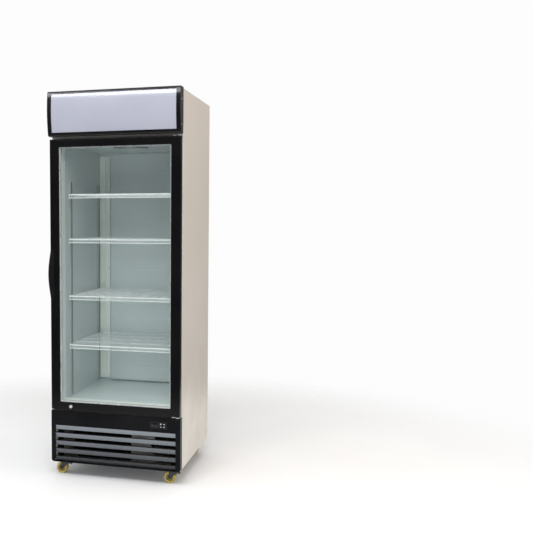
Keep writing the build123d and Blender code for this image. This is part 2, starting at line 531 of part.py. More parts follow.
# ---------------------------------------------------------------- lower panel
def make_grille():
    """Moulded lower panel, its louvers, the controller and its keys."""
    half = GRILLE_W / 2
    shell = box(-half, half, -GRILLE_D, -GRILLE_GAP, GRILLE_BOTTOM, GRILLE_TOP)
    low_corners = shell.edges().filter_by(Axis.Y).sort_by(Axis.Z)[:2]
    shell = fillet(low_corners, GRILLE_CORNER)
    shell = fillet(shell.faces().sort_by(Axis.Y)[0].outer_wire().edges(), GRILLE_EDGE)
    wall = GRILLE_WALL
    cavity = box(-half + wall, half - wall, -GRILLE_D + wall, 0, GRILLE_BOTTOM + wall, GRILLE_TOP - wall)
    cavity = fillet(cavity.edges().filter_by(Axis.Y).sort_by(Axis.Z)[:2], GRILLE_CORNER - wall)
    window_low = LOUVER_TOP - (LOUVER_COUNT - 1) * LOUVER_PITCH - LOUVER_H - 2
    window = box(-LOUVER_W / 2, LOUVER_W / 2, -GRILLE_D - 1, -GRILLE_D + wall + 1,
                 window_low, LOUVER_TOP + 3)
    panel = shell - cavity - window
    leg_low = DOOR_BOTTOM - BRACKET_GAP - BRACKET_T - BRACKET_LEG_L - LEG_CLEAR
    panel = panel - box(PIVOT_X - BRACKET_W, half - wall, -BRACKET_LEG - 2, 0, leg_low, GRILLE_TOP + 1)
    cam_y = FRAME_BACK + CAM_CLEAR + CAM_T / 2
    slot_half = CAM_T / 2 + CAM_SLOT_CLEAR
    panel = panel - box(LOCK_X - CAM_SWING, LOCK_X + CAM_W / 2 + CAM_SLOT_CLEAR, cam_y - slot_half,
                        cam_y + slot_half, GRILLE_TOP - 2 * wall, GRILLE_TOP + 1)
    key_x = CONTROL_X + KEY_X
    pocket_in, pocket_edge = POCKET_IN
    pocket = box(CONTROL_X - CONTROL_W / 2 + pocket_in, key_x + KEY_PITCH_X / 2 + KEY_W, -GRILLE_D - 1,
                 -GRILLE_D + wall + 1, CONTROL_Z - CONTROL_H / 2 + pocket_edge,
                 CONTROL_Z + CONTROL_H / 2 - pocket_edge)
    save("grille_panel", panel - pocket)
    louvers = []
    face_y = -GRILLE_D + 1.0
    for n in range(LOUVER_COUNT):
        top = LOUVER_TOP - n * LOUVER_PITCH
        lean = LOUVER_LEAN
        points = [(face_y, top), (face_y + lean, top - LOUVER_H),
                  (face_y + lean + LOUVER_T, top - LOUVER_H), (face_y + LOUVER_T, top - LOUVER_T),
                  (face_y + LOUVER_SHELF, top - LOUVER_T), (face_y + LOUVER_SHELF, top)]
        plane = Plane(origin=(-LOUVER_W / 2 + LOUVER_END, 0, 0), x_dir=(0, 1, 0), z_dir=(1, 0, 0))
        louver = extrude(plane * make_face(Polyline(*points, close=True)), LOUVER_W - 2 * LOUVER_END)
        louvers.append(louver)
    save("grille_louvers", *louvers)
    front = -GRILLE_D - CONTROL_T
    bezel = box(CONTROL_X - CONTROL_W / 2, CONTROL_X + CONTROL_W / 2, front, -GRILLE_D,
                CONTROL_Z - CONTROL_H / 2, CONTROL_Z + CONTROL_H / 2)
    bezel = fillet(bezel.edges().filter_by(Axis.Y), 4.0)
    bezel = fillet(bezel.faces().sort_by(Axis.Y)[0].outer_wire().edges(), 1.0)
    left, middle, edge = DISPLAY_IN
    display = box(CONTROL_X - CONTROL_W / 2 + left, CONTROL_X - middle, front - 1, front + 1,
                  CONTROL_Z - CONTROL_H / 2 + edge, CONTROL_Z + CONTROL_H / 2 - edge)
    bezel = bezel - display
    names = [("key_set", -1, 1), ("key_up", 1, 1), ("key_defrost", -1, -1), ("key_down", 1, -1)]
    for name, side, level in names:
        x = key_x + side * KEY_PITCH_X / 2
        z = CONTROL_Z + level * KEY_PITCH_Z / 2
        hole = box(x - KEY_W / 2 - KEY_CLEAR, x + KEY_W / 2 + KEY_CLEAR, front - 1, -GRILLE_D + 1,
                   z - KEY_H / 2 - KEY_CLEAR, z + KEY_H / 2 + KEY_CLEAR)
        bezel = bezel - hole
        key = box(x - KEY_W / 2, x + KEY_W / 2, front - KEY_PROUD, -GRILLE_D, z - KEY_H / 2, z + KEY_H / 2)
        key = fillet(key.edges().filter_by(Axis.Y), 1.5)
        key = fillet(key.faces().sort_by(Axis.Y)[0].outer_wire().edges(), 0.5)
        save(name, key)
    save("controller_bezel", bezel)


# ---------------------------------------------------------------- door
def make_door():
    """Mitred frame, double glazing, gasket, grip and hinge bushes."""
    front = -DOOR_FRONT
    frame = ring(DOOR_HALF, DOOR_BOTTOM, DOOR_TOP, SIGHT_HALF, SIGHT_LOW, SIGHT_HIGH, front, FRAME_BACK)
    face = frame.faces().sort_by(Axis.Y)[0]
    frame = fillet(face.outer_wire().edges(), FRAME_ROUND)
    face = frame.faces().filter_by(Axis.Y).sort_by(Axis.Y)[0]
    frame = chamfer(face.inner_wires()[0].edges(), SIGHT_CHAMFER)
    pane_front = front + FRAME_LIP
    pane_back = pane_front + 2 * PANE_T + PANE_SPACE
    tuck = PANE_TUCK + GASKET_CLEAR
    frame = frame - box(-SIGHT_HALF - tuck, SIGHT_HALF + tuck, pane_front, pane_back,
                        SIGHT_LOW - tuck, SIGHT_HIGH + tuck)
    wall = FRAME_WALL
    hollow = tuck + wall
    frame = frame - ring(DOOR_HALF - wall, DOOR_BOTTOM + wall, DOOR_TOP - wall, SIGHT_HALF + hollow,
                         SIGHT_LOW - hollow, SIGHT_HIGH + hollow, front + wall, FRAME_BACK - wall)
    for z0, z1 in ((DOOR_BOTTOM - 1, DOOR_BOTTOM + BUSH_L), (DOOR_TOP - BUSH_L, DOOR_TOP + 1)):
        frame = frame - rod((PIVOT_X, PIVOT_Y, z0), (PIVOT_X, PIVOT_Y, z1), BUSH_R)
    frame = frame - rod((LOCK_X, front - 1, LOCK_Z), (LOCK_X, front + wall + 1, LOCK_Z), LOCK_R + FIT)
    frame = frame - rod((LOCK_X, FRAME_BACK - wall - 1, LOCK_Z), (LOCK_X, FRAME_BACK + 1, LOCK_Z),
                        LOCK_SHANK_R + FIT)
    g = MITRE_GAP / 2
    outer = [(-DOOR_HALF, DOOR_BOTTOM), (DOOR_HALF, DOOR_BOTTOM), (DOOR_HALF, DOOR_TOP), (-DOOR_HALF, DOOR_TOP)]
    inner = [(-SIGHT_HALF, SIGHT_LOW), (SIGHT_HALF, SIGHT_LOW), (SIGHT_HALF, SIGHT_HIGH), (-SIGHT_HALF, SIGHT_HIGH)]
    trims = [(g, 0), (0, g), (-g, 0), (0, -g)]
    rails = []
    for n in range(4):
        m = (n + 1) % 4
        tx, tz = trims[n]
        points = [(outer[n][0] + tx, outer[n][1] + tz), (outer[m][0] - tx, outer[m][1] - tz),
                  (inner[m][0] - tx, inner[m][1] - tz), (inner[n][0] + tx, inner[n][1] + tz)]
        plane = Plane(origin=(0, front - 1, 0), x_dir=(1, 0, 0), z_dir=(0, -1, 0))
        wedge = extrude(plane * make_face(Polyline(*points, close=True)), -(DOOR_FRONT + 2))
        rails.append(frame & wedge)
    save("door_frame", *rails)
    glass_half = SIGHT_HALF + PANE_TUCK
    glass_low = SIGHT_LOW - PANE_TUCK
    glass_high = SIGHT_HIGH + PANE_TUCK
    space = pane_front + PANE_T
    save("door_glass",
         box(-glass_half, glass_half, pane_front, space, glass_low, glass_high),
         box(-glass_half, glass_half, space + PANE_SPACE, pane_back, glass_low, glass_high))
    s = SPACER_SHOWS
    save("glass_spacer", ring(glass_half - 2, glass_low + 2, glass_high - 2, SIGHT_HALF - s, SIGHT_LOW + s,
                              SIGHT_HIGH - s, space, space + PANE_SPACE))
    gasket = []
    steps = ((0.0, FRAME_BACK, 3.0), (2.0, FRAME_BACK + 3.0, 2.4), (0.8, FRAME_BACK + 5.4, 4.6 - GASKET_CLEAR))
    for inset, y, depth in steps:
        x = DOOR_HALF - GASKET_IN - inset
        low = DOOR_BOTTOM + GASKET_LOW + inset
        high = DOOR_TOP - GASKET_TOP - inset
        w = GASKET_W - 2 * inset
        gasket.append(ring(x, low, high, x - w, low + w, high - w, y, y + depth))
    save("door_gasket", fused(gasket))
    save("door_handle", make_grip(front))
    bushes = []
    for z0, z1 in ((DOOR_BOTTOM, DOOR_BOTTOM + BUSH_L), (DOOR_TOP - BUSH_L, DOOR_TOP)):
        bush = rod((PIVOT_X, PIVOT_Y, z0), (PIVOT_X, PIVOT_Y, z1), BUSH_R)
        bushes.append(bush - rod((PIVOT_X, PIVOT_Y, z0), (PIVOT_X, PIVOT_Y, z1), PIN_R + FIT))
    save("hinge_bushes", *bushes)


def make_grip(front):
    """Long moulded swelling that wraps the free edge of the door."""
    sections = []
    for share in (-1.0, -0.8, -0.45, 0.0, 0.45, 0.8, 1.0):
        swell = 0.06 + 0.94 * math.cos(share * math.pi / 2) ** 1.1 if abs(share) < 1 else 0.06
        x0 = -DOOR_HALF - HANDLE_OUT * swell
        x1 = -DOOR_HALF + HANDLE_ON
        y0 = front - HANDLE_PROUD * swell
        y1 = FRAME_BACK - 6.0
        plane = Plane(origin=((x0 + x1) / 2, (y0 + y1) / 2, HANDLE_Z + share * HANDLE_L / 2))
        sections.append(plane * RectangleRounded(x1 - x0, y1 - y0, HANDLE_ROUND))
    grip = loft(sections)
    door = box(-DOOR_HALF, 0, front, FRAME_BACK + 20, DOOR_BOTTOM, DOOR_TOP)
    return grip - door


# ---------------------------------------------------------------- hinges and lock
def make_hinges():
    """Steel brackets with a pin each, top and bottom, and the key lock with its cam."""
    brackets = []
    top_plate = DOOR_TOP + BRACKET_GAP
    low_plate = DOOR_BOTTOM - BRACKET_GAP - BRACKET_T
    x0 = PIVOT_X - BRACKET_W + BRACKET_NOSE
    x1 = PIVOT_X + BRACKET_NOSE
    for plate, pin_from, pin_to, leg in (
            (top_plate, top_plate, DOOR_TOP - PIN_L, (top_plate, top_plate + BRACKET_T + BRACKET_LEG_L)),
            (low_plate, low_plate + BRACKET_T, DOOR_BOTTOM + PIN_L, (low_plate - BRACKET_LEG_L,
                                                                      low_plate + BRACKET_T))):
        bracket = fused([
            box(x0, x1, PIVOT_Y, -HEADER_GAP, plate, plate + BRACKET_T),
            rod((PIVOT_X, PIVOT_Y, plate), (PIVOT_X, PIVOT_Y, plate + BRACKET_T), BRACKET_NOSE),
            box(x0, x1, -BRACKET_LEG, 0, *leg),
            rod((PIVOT_X, PIVOT_Y, pin_from), (PIVOT_X, PIVOT_Y, pin_to), PIN_R),
        ])
        brackets.append(bracket)
    save("hinge_brackets", *brackets)
    face = -DOOR_FRONT - LOCK_PROUD
    cam_y = FRAME_BACK + CAM_CLEAR
    head_back = -DOOR_FRONT + LOCK_HEAD
    barrel = rod((LOCK_X, face, LOCK_Z), (LOCK_X, head_back, LOCK_Z), LOCK_R)
    barrel = fillet(barrel.faces().sort_by(Axis.Y)[0].outer_wire().edges(), 1.0)
    way_w, way_h, way_d = KEYWAY
    slot = box(LOCK_X - way_w / 2, LOCK_X + way_w / 2, face - 1, face + way_d, LOCK_Z - way_h / 2,
               LOCK_Z + way_h / 2)
    shank = rod((LOCK_X, head_back, LOCK_Z), (LOCK_X, cam_y + CAM_T + 1.5, LOCK_Z), LOCK_SHANK_R)
    cam = box(LOCK_X - CAM_L, LOCK_X, cam_y, cam_y + CAM_T, LOCK_Z - CAM_W / 2, LOCK_Z + CAM_W / 2)
    save("lock_cylinder", fused([barrel - slot, shank, cam]))


# ---------------------------------------------------------------- shelves
def make_shelves():
    """Four coated wire shelves, the slotted pilasters and the clips."""
    half = SHELF_W / 2
    r = FRAME_WIRE_R
    frame = -2 * DECK_WIRE_R - r + 2 * WIRE_SINK
    front = SHELF_FRONT + 2 * DECK_WIRE_R + r - WIRE_SINK
    back = SHELF_BACK - r
    side = half - r
    pieces = []
    for x in (-side, side):
        pieces.append(wire((x, front - r, frame), (x, back + r, frame), r))
    for y in (front, back):
        pieces.append(wire((-side, y, frame), (side, y, frame), r))
    for n in range(1, CROSS_WIRES + 1):
        y = front + (back - front) * n / (CROSS_WIRES + 1)
        pieces.append(wire((-side, y, frame), (side, y, frame), CROSS_WIRE_R))
    low = -SHELF_DROP + LOWER_WIRE_R
    low_y = SHELF_FRONT + 2 * DECK_WIRE_R + LOWER_WIRE_R - WIRE_SINK
    pieces.append(wire((-side - r, low_y, low), (side + r, low_y, low), LOWER_WIRE_R))
    count = int((2 * (side - 2 * r)) // WIRE_PITCH) + 1
    first = -(count - 1) * WIRE_PITCH / 2
    for n in range(count):
        x = first + n * WIRE_PITCH
        x0 = x - DECK_WIRE_R
        x1 = x + DECK_WIRE_R
        pieces.append(box(x0, x1, SHELF_FRONT, back, -2 * DECK_WIRE_R, 0))
        pieces.append(box(x0, x1, SHELF_FRONT, SHELF_FRONT + 2 * DECK_WIRE_R, -SHELF_DROP, 0))
    shelf = fused(pieces)
    for n, z in enumerate(SHELF_Z):
        save(f"shelf_{n + 1}", shelf.moved(Location((0, 0, z))))
    posts = []
    clips = []
    tongue_w = SLOT_W / 2 - TONGUE_CLEAR
    tongue_h = SLOT_H / 2 - TONGUE_CLEAR
    for y in PILASTER_YS:
        low = SLOT_FIRST - SLOT_PITCH
        high = SLOT_FIRST + SLOT_PITCH * SLOT_COUNT
        wall = PILASTER_WALL
        post = box(PILASTER_X, OPEN_HALF, y, y + PILASTER_W, low, high)
        post = post - box(PILASTER_X + wall, OPEN_HALF, y + wall, y + PILASTER_W - wall, low, high)
        slot_y = y + SLOT_IN
        slots = [box(PILASTER_X, PILASTER_X + wall, slot_y - SLOT_W / 2, slot_y + SLOT_W / 2,
                     SLOT_FIRST + SLOT_PITCH * n - SLOT_H / 2, SLOT_FIRST + SLOT_PITCH * n + SLOT_H / 2)
                 for n in range(SLOT_COUNT)]
        post = post.cut(*slots)
        posts += [post, mirrored(post)]
        for step in SHELF_STEPS:
            z = SLOT_FIRST + SLOT_PITCH * step
            clip = fused([
                box(PILASTER_X - CLIP_L, PILASTER_X, slot_y - CLIP_W / 2, slot_y + CLIP_W / 2,
                    z - CLIP_H / 2, z + CLIP_H / 2),
                box(PILASTER_X, PILASTER_X + CLIP_TONGUE, slot_y - tongue_w, slot_y + tongue_w,
                    z - tongue_h, z + tongue_h),
            ])
            clips += [clip, mirrored(clip)]
    save("shelf_pilasters", *posts)
    save("shelf_clips", *clips)


# ---------------------------------------------------------------- cavity fittings
def fan(axis_point, away, name):
    """Fan wheel with its shaft; away points from the hub into the motor."""
    hub = Cylinder(FAN_HUB_R, FAN_HUB_H)
    pieces = [hub, Pos(0, 0, (FAN_HUB_H + SHAFT_L) / 2) * Cylinder(SHAFT_R, SHAFT_L)]
    for n in range(FAN_BLADES):
        blade = Rot(FAN_TWIST, 0, 0) * Box(FAN_R - FAN_HUB_R, FAN_CHORD, BLADE_T)
        pieces.append(Rot(0, 0, 360 / FAN_BLADES * n) * Pos((FAN_HUB_R + FAN_R) / 2 - 2, 0, 0) * blade)
    wheel = fused(pieces) & Cylinder(FAN_R, 2 * FAN_R)
    save(name, Plane(origin=axis_point, z_dir=away) * wheel)


def motor(axis_point, away, arms):
    """Fan motor with a bore for the shaft and a strap that carries it."""
    start = FAN_HUB_H / 2 + MOTOR_GAP
    reach = FAN_R + STRAP_OUT
    body = Pos(0, 0, start + MOTOR_H / 2) * Cylinder(MOTOR_R, MOTOR_H)
    body = fillet(body.edges().filter_by(GeomType.CIRCLE), 4.0)
    strap = Pos(0, 0, start + MOTOR_H + STRAP_T / 2) * Box(2 * reach, STRAP_W, STRAP_T)
    length = start + MOTOR_H + STRAP_T - arms
    legs = [Pos(side * reach, 0, arms + length / 2) * Box(STRAP_T, STRAP_W, length) for side in (-1, 1)]
    whole = fused([body, strap] + legs)
    whole = whole - Pos(0, 0, start + SHAFT_L / 2) * Cylinder(SHAFT_R + FIT, SHAFT_L + 2)
    return Plane(origin=axis_point, z_dir=away) * whole


def coil(half_w, half_h, depth, fins, rows, columns):
    """Finned block: plates along X, joined by straight tubes."""
    pieces = []
    for n in range(fins):
        x = -half_w + 2 * half_w * n / (fins - 1)
        pieces.append(Pos(x, 0, 0) * Box(FIN_T, depth, 2 * half_h))
    for row in range(rows):
        for column in range(columns):
            y = depth * ((row + 0.5) / rows - 0.5)
            z = 2 * half_h * ((column + 0.5) / columns - 0.5)
            pieces.append(rod((-half_w - TUBE_OVER, y, z), (half_w + TUBE_OVER, y, z), TUBE_R))
    return fused(pieces)


def make_fittings():
    """Air duct, corner lamps, ceiling panel, coil and fans."""
    half = DUCT_W / 2
    face = LINER_BACK - DUCT_D
    foot = FLOOR_Z + DUCT_FOOT
    duct = box(-half, half, face, LINER_BACK, foot, CEILING_Z)
    duct = duct - box(-half + DUCT_T, half - DUCT_T, face + DUCT_T, LINER_BACK, foot, CEILING_Z)
    save("duct_panel", duct)
    post_face = LINER_BACK - LAMP_POST_D
    z0 = FLOOR_Z + LAMP_END
    z1 = CEILING_Z - LAMP_END
    lens_x = OPEN_HALF - LAMP_LENS_IN - LAMP_LENS_W
    channel = fused([
        box(LAMP_POST_IN, OPEN_HALF - LAMP_LENS_IN / 2, LINER_BACK - LAMP_BASE, LINER_BACK, z0, z1),
        box(LAMP_POST_IN, LAMP_POST_IN + LAMP_RIB_W, LINER_BACK - LAMP_RIB_D, LINER_BACK, z0, z1),
    ])
    save("lamp_channels", channel, mirrored(channel))
    lens = box(lens_x, lens_x + LAMP_LENS_W, post_face, LINER_BACK - LAMP_BASE, z0, z1)
    lens = fillet(lens.edges().filter_by(Axis.Z).sort_by(Axis.Y)[:2], LAMP_LENS_R)
    save("lamp_lenses", lens, mirrored(lens))
    panel = box(-OPEN_HALF, OPEN_HALF, CHAMBER_FRONT, LINER_BACK, CEILING_Z, CEILING_Z + PANEL_T)
    mid = CEILING_Z + PANEL_T / 2
    panel = panel - Pos(0, FAN_Y, mid) * Cylinder(FAN_HOLE_R, PANEL_T)
    guard = []
    for n in range(1, GUARD_HOOPS + 1):
        radius = FAN_HOLE_R * n / (GUARD_HOOPS + 1)
        hoop = Cylinder(radius + HOOP_W / 2, PANEL_T) - Cylinder(radius - HOOP_W / 2, PANEL_T)
        guard.append(Pos(0, FAN_Y, mid) * hoop)
    for turn in (45, 135):
        guard.append(Pos(0, FAN_Y, mid) * Rot(0, 0, turn) * Box(2 * FAN_HOLE_R + 1, SPOKE_W, PANEL_T))
    save("ceiling_panel", fused([panel] + guard))
    coil_z = (CEILING_Z + CHAMBER_TOP) / 2 + 4
    cold = coil(OPEN_HALF - EVAP_IN, EVAP_HALF_H, EVAP_D, EVAP_FINS, 2, 4)
    save("evaporator_coil", Pos(0, EVAP_FRONT + EVAP_D / 2, coil_z) * cold)
    fan((0, FAN_Y, FAN_Z), (0, 0, 1), "evaporator_fan")
    cool_motor = motor((0, FAN_Y, FAN_Z), (0, 0, 1), CEILING_Z + PANEL_T - FAN_Z)
    fan((COND_X, BAY_FAN_Y, COND_Z), (0, 1, 0), "condenser_fan")
    bay_motor = motor((COND_X, BAY_FAN_Y, COND_Z), (0, 1, 0), SHROUD_Y + SHROUD_T - BAY_FAN_Y)
    save("fan_motors", cool_motor, bay_motor)
    warm = coil(COND_HALF_W, COND_HALF_H, COND_D, COND_FINS, 2, 5)
    block = Pos(COND_X, COND_Y + COND_D / 2, COND_Z) * warm
    shroud = box(COND_X - COND_HALF_W, COND_X + COND_HALF_W, SHROUD_Y, SHROUD_Y + SHROUD_T,
                 CAB_BOTTOM + BASE_T, COND_Z + COND_HALF_H)
    opening = Cylinder(FAN_R + SHROUD_RING, 2 * SHROUD_T)
    shroud = shroud - Pos(COND_X, SHROUD_Y + SHROUD_T / 2, COND_Z) * Rot(90, 0, 0) * opening
    save("condenser_coil", block, shroud)


# ---------------------------------------------------------------- machine bay
def make_bay():
    """Base tray, compressor, tubing, condensate tray, control box, inlet and rear guard."""
    inside = HALF_W - SHEET
    low = CAB_BOTTOM
    tray = box(-inside, inside, SHEET, CAB_D - SHEET, low, low + BASE_LIP)
    tray = tray - box(-inside, inside, SHEET + BASE_T, CAB_D - SHEET - BASE_T, low + BASE_T, low + BASE_LIP)
    for x, y in bolt_places():
        tray = tray - rod((x, y, low - 1), (x, y, low + BASE_T + 1), BOLT_R + BOLT_CLEAR)
    save("machine_base", tray)
    floor = low + BASE_T
    leg_r, leg_h, leg_in = COMP_LEG
    shell_low = floor + leg_h + COMP_PLATE + 1
    shell = Pos(COMP_X, COMP_Y, shell_low + COMP_H / 2) * Cylinder(COMP_R, COMP_H)
    shell = fillet(shell.edges().filter_by(GeomType.CIRCLE), COMP_ROUND)
    proud, seam_h, seam_at = COMP_SEAM
    seam = Pos(COMP_X, COMP_Y, shell_low + COMP_H * seam_at) * Cylinder(COMP_R + proud, seam_h)
    foot = Pos(COMP_X, COMP_Y, floor + leg_h + COMP_PLATE - 0.5) * Box(2 * COMP_R, 2 * COMP_R, COMP_PLATE)
    legs = []
    for sx in (-1, 1):
        for sy in (-1, 1):
            x = COMP_X + sx * (COMP_R - leg_in)
            y = COMP_Y + sy * (COMP_R - leg_in)
            legs.append(rod((x, y, floor), (x, y, floor + 2 * leg_h), leg_r))
    save("compressor", fused([shell, seam, foot] + legs))
    near, far, front, rear = DRIP_BOX
    ends = (near - HALF_W, far - HALF_W, CAB_D - front, CAB_D - rear)
    drip = box(*ends, floor, floor + DRIP_H)
    well = box(ends[0] + DRIP_T, ends[1] - DRIP_T, ends[2] + DRIP_T, ends[3] - DRIP_T, floor + DRIP_T,
               floor + DRIP_H)
    save("drip_tray", drip - well)
    line_x = COMP_X - 30
    line_z = shell_low + COMP_H + LINE_RISE
    down_x = COND_X + COND_HALF_W + LINE_OUT
    run = FilletPolyline((line_x, COMP_Y, shell_low + COMP_H - 2), (line_x, COMP_Y, line_z),
                         (line_x, LINE_Y, line_z), (down_x, LINE_Y, line_z), (down_x, LINE_Y, COND_Z),
                         radius=LINE_BEND)
    line = sweep((Plane(origin=run @ 0, z_dir=run % 0) * Circle(LINE_R)), path=run)
    right, dryer_y, dryer_up = DRYER_PLACE
    dryer = rod((COMP_X + right, dryer_y, floor + dryer_up), (COMP_X + right, dryer_y + DRYER_L, floor + dryer_up),
                DRYER_R)
    save("refrigerant_lines", line - shell, dryer)
    box_x = -inside + CONTROL_BOX_W
    control = box(-inside, box_x, CAB_D - CONTROL_BOX_Y[0], CAB_D - CONTROL_BOX_Y[1], floor + BASE_LIP,
                  floor + BASE_LIP + CONTROL_BOX_H)
    save("control_box", fillet(control.edges().filter_by(Axis.Z).sort_by(Axis.X)[-2:], 5.0))
    back = CAB_D
    half = GUARD_W / 2
    top = FOAM_BOTTOM - 2
    edge = GUARD_EDGE
    guard = box(-half, half, back, back + GUARD_T, GUARD_BOTTOM, top)
    dish = box(-half + edge, half - edge, back, back + GUARD_D, GUARD_BOTTOM + edge, top - edge)
    dish = fillet(dish.faces().sort_by(Axis.Y)[-1].outer_wire().edges(), GUARD_ROUND)
    hollow = box(-half + edge + GUARD_T, half - edge - GUARD_T, back, back + GUARD_D - GUARD_T,
                 GUARD_BOTTOM + edge + GUARD_T, top - edge - GUARD_T)
    guard = fused([guard, dish]) - hollow
    slots = []
    rows = int((top - 2 * edge - GUARD_BOTTOM - VENT_FIRST) // VENT_PITCH) + 1
    for row in range(rows):
        for column in range(VENT_COLUMNS):
            x = -half + VENT_MARGIN + column * (GUARD_W - 2 * VENT_MARGIN) / VENT_COLUMNS
            z = GUARD_BOTTOM + VENT_FIRST + row * VENT_PITCH
            if abs(x + VENT_W / 2 - INLET_X) < INLET_KEEP[0] and abs(z - INLET_Z) < INLET_KEEP[1]:
                continue
            slots.append(box(x, x + VENT_W, back, back + GUARD_D + 1, z, z + VENT_H))
    guard = guard.cut(*slots)
    guard = guard - rod((INLET_X, back, INLET_Z), (INLET_X, back + GUARD_D + 1, INLET_Z), INLET_R)
    save("rear_guard", guard)
    deep = back + GUARD_D - GUARD_T
    inlet = fused([
        rod((INLET_X, deep - 12, INLET_Z), (INLET_X, back + GUARD_D, INLET_Z), INLET_R),
        rod((INLET_X, deep - 15, INLET_Z), (INLET_X, deep, INLET_Z), INLET_R + INLET_FLANGE),
    ])
    bore = rod((INLET_X, deep - 20, INLET_Z), (INLET_X, back + GUARD_D + 1, INLET_Z), INLET_BORE)
    save("power_inlet", inlet - bore)


# ---------------------------------------------------------------- casters
def caster_spots():
    """Name and swivel axis of each caster."""
    return [("fl", -CASTER_X, CASTER_FRONT), ("fr", CASTER_X, CASTER_FRONT),
            ("rl", -CASTER_X, CASTER_REAR), ("rr", CASTER_X, CASTER_REAR)]


def bolt_places():
    """Middle of every caster bolt."""
    return [(x + i * PLATE_BOLT, y + j * PLATE_BOLT)
            for _, x, y in caster_spots() for i in (-1, 1) for j in (-1, 1)]


def make_casters():
    """Plates with kingpins, forks with axles, twin-tread wheels and brake pedals."""
    plate_low = CAB_BOTTOM - PLATE_T
    race_low = plate_low - RACE_H
    crown_top = race_low - SWIVEL_CLEAR
    crown_low = crown_top - CROWN_T
    head_top = crown_low - SWIVEL_CLEAR
    head_out, head_h = PIN_HEAD
    crown_half, crown_t = CROWN_PLATE
    leg_rear, leg_step, leg_slope = LEG_TOP
    eye, eye_low, eye_high = LEG_EYE
    plates = []
    leg_in = WHEEL_W / 2 + FORK_CLEAR
    leg_out = leg_in + FORK_T
    for name, x, y in caster_spots():
        plate = box(x - PLATE / 2, x + PLATE / 2, y - PLATE / 2, y + PLATE / 2, plate_low, CAB_BOTTOM)
        plate = fillet(plate.edges().filter_by(Axis.Z), PLATE_ROUND)
        for i in (-1, 1):
            for j in (-1, 1):
                px = x + i * PLATE_BOLT
                py = y + j * PLATE_BOLT
                plate = plate - rod((px, py, plate_low), (px, py, CAB_BOTTOM), BOLT_R + BOLT_CLEAR)
        race = rod((x, y, race_low), (x, y, plate_low), RACE_R)
        pin = rod((x, y, head_top - head_h), (x, y, race_low), KINGPIN_R)
        head = rod((x, y, head_top - head_h), (x, y, head_top), KINGPIN_R + head_out)
        plates.append(fused([plate, race, pin, head]))
        crown = fused([
            box(x - crown_half, x + crown_half, y - leg_out, y + leg_out, crown_low, crown_low + crown_t),
            rod((x, y, crown_low), (x, y, crown_top), RACE_R - 2),
        ])
        legs = []
        outline = [(x - leg_rear, crown_low + crown_t), (x + crown_half, crown_low + crown_t),
                   (x + crown_half, PEDAL_Z - leg_step), (x + leg_step, PEDAL_Z - leg_slope),
                   (x - TRAIL + eye, WHEEL_R - eye_low), (x - TRAIL - eye, WHEEL_R - eye_low),
                   (x - TRAIL - eye, WHEEL_R + eye_high)]
        for start in (y + leg_in, y - leg_out):
            plane = Plane(origin=(0, start, 0), x_dir=(1, 0, 0), z_dir=(0, -1, 0))
            legs.append(extrude(plane * make_face(Polyline(*outline, close=True)), -FORK_T))
        fork = fused([crown] + legs)
        fork = fork - rod((x, y, crown_low), (x, y, crown_top), KINGPIN_R + FIT)
        axle_x = x - TRAIL
        over = leg_out + AXLE_OVER
        axle = rod((axle_x, y - over, WHEEL_R), (axle_x, y + over, WHEEL_R), AXLE_R)
        nuts = []
        for start in (y - leg_out - NUT_T, y + leg_out):
            plane = Plane(origin=(axle_x, start, WHEEL_R), x_dir=(1, 0, 0), z_dir=(0, -1, 0))
            nuts.append(extrude(plane * RegularPolygon(NUT_R, 6), -NUT_T))
        fork = fused([fork, axle] + nuts)
        if name[0] == "f":
            px = x + PEDAL_X
            fork = fork + rod((px, y - leg_out, PEDAL_Z), (px, y + leg_out, PEDAL_Z), PEDAL_PIN_R)
            hub = rod((px, y - PEDAL_W / 2, PEDAL_Z), (px, y + PEDAL_W / 2, PEDAL_Z), PEDAL_R)
            arm = box(0, PEDAL_L, y - PEDAL_W / 2, y + PEDAL_W / 2, -PEDAL_T / 2, PEDAL_T / 2)
            arm = fillet(arm.edges().filter_by(Axis.Z).sort_by(Axis.X)[-2:], PEDAL_W / 3)
            arm = Pos(px, 0, PEDAL_Z) * Rot(0, PEDAL_TILT, 0) * Pos(0, 0, PEDAL_T) * arm
            pedal = fused([hub, arm])
            pedal = pedal - rod((px, y - leg_in, PEDAL_Z), (px, y + leg_in, PEDAL_Z), PEDAL_PIN_R + FIT)
            save(f"caster_brake_{name}", pedal)
        save(f"caster_fork_{name}", fork)
        save(f"caster_wheel_{name}", *make_wheel(axle_x, y))
    save("caster_plates", *plates)


def make_wheel(x, y):
    """Hub with a bearing bore and two soft treads with a groove between them."""
    half = WHEEL_W / 2
    rim = WHEEL_R - TREAD_T
    hub = rod((x, y - half, WHEEL_R), (x, y + half, WHEEL_R), rim)
    dish = [rod((x, y + s * half, WHEEL_R), (x, y + s * (half - HUB_DISH), WHEEL_R), rim - HUB_RIM)
            for s in (-1, 1)]
    boss = rod((x, y - half, WHEEL_R), (x, y + half, WHEEL_R), AXLE_R + HUB_BOSS)
    hub = (hub - dish[0] - dish[1]) + boss
    hub = hub - rod((x, y - half, WHEEL_R), (x, y + half, WHEEL_R), AXLE_R + FIT)
    treads = []
    for s in (-1, 1):
        outer = y + s * half
        inner = y + s * (half - TREAD_W)
        tread = rod((x, inner, WHEEL_R), (x, outer, WHEEL_R), WHEEL_R)
        tread = fillet(tread.edges().filter_by(GeomType.CIRCLE), TREAD_ROUND)
        treads.append(tread - rod((x, inner, WHEEL_R), (x, outer, WHEEL_R), rim))
    return [hub] + treads


# ---------------------------------------------------------------- fasteners
def screw(place, out, size):
    """Screw head that stands on a face and points out of it; size is its radius and height."""
    radius, height = size
    return rod(place, tuple(at + height * way for at, way in zip(place, out)), radius)


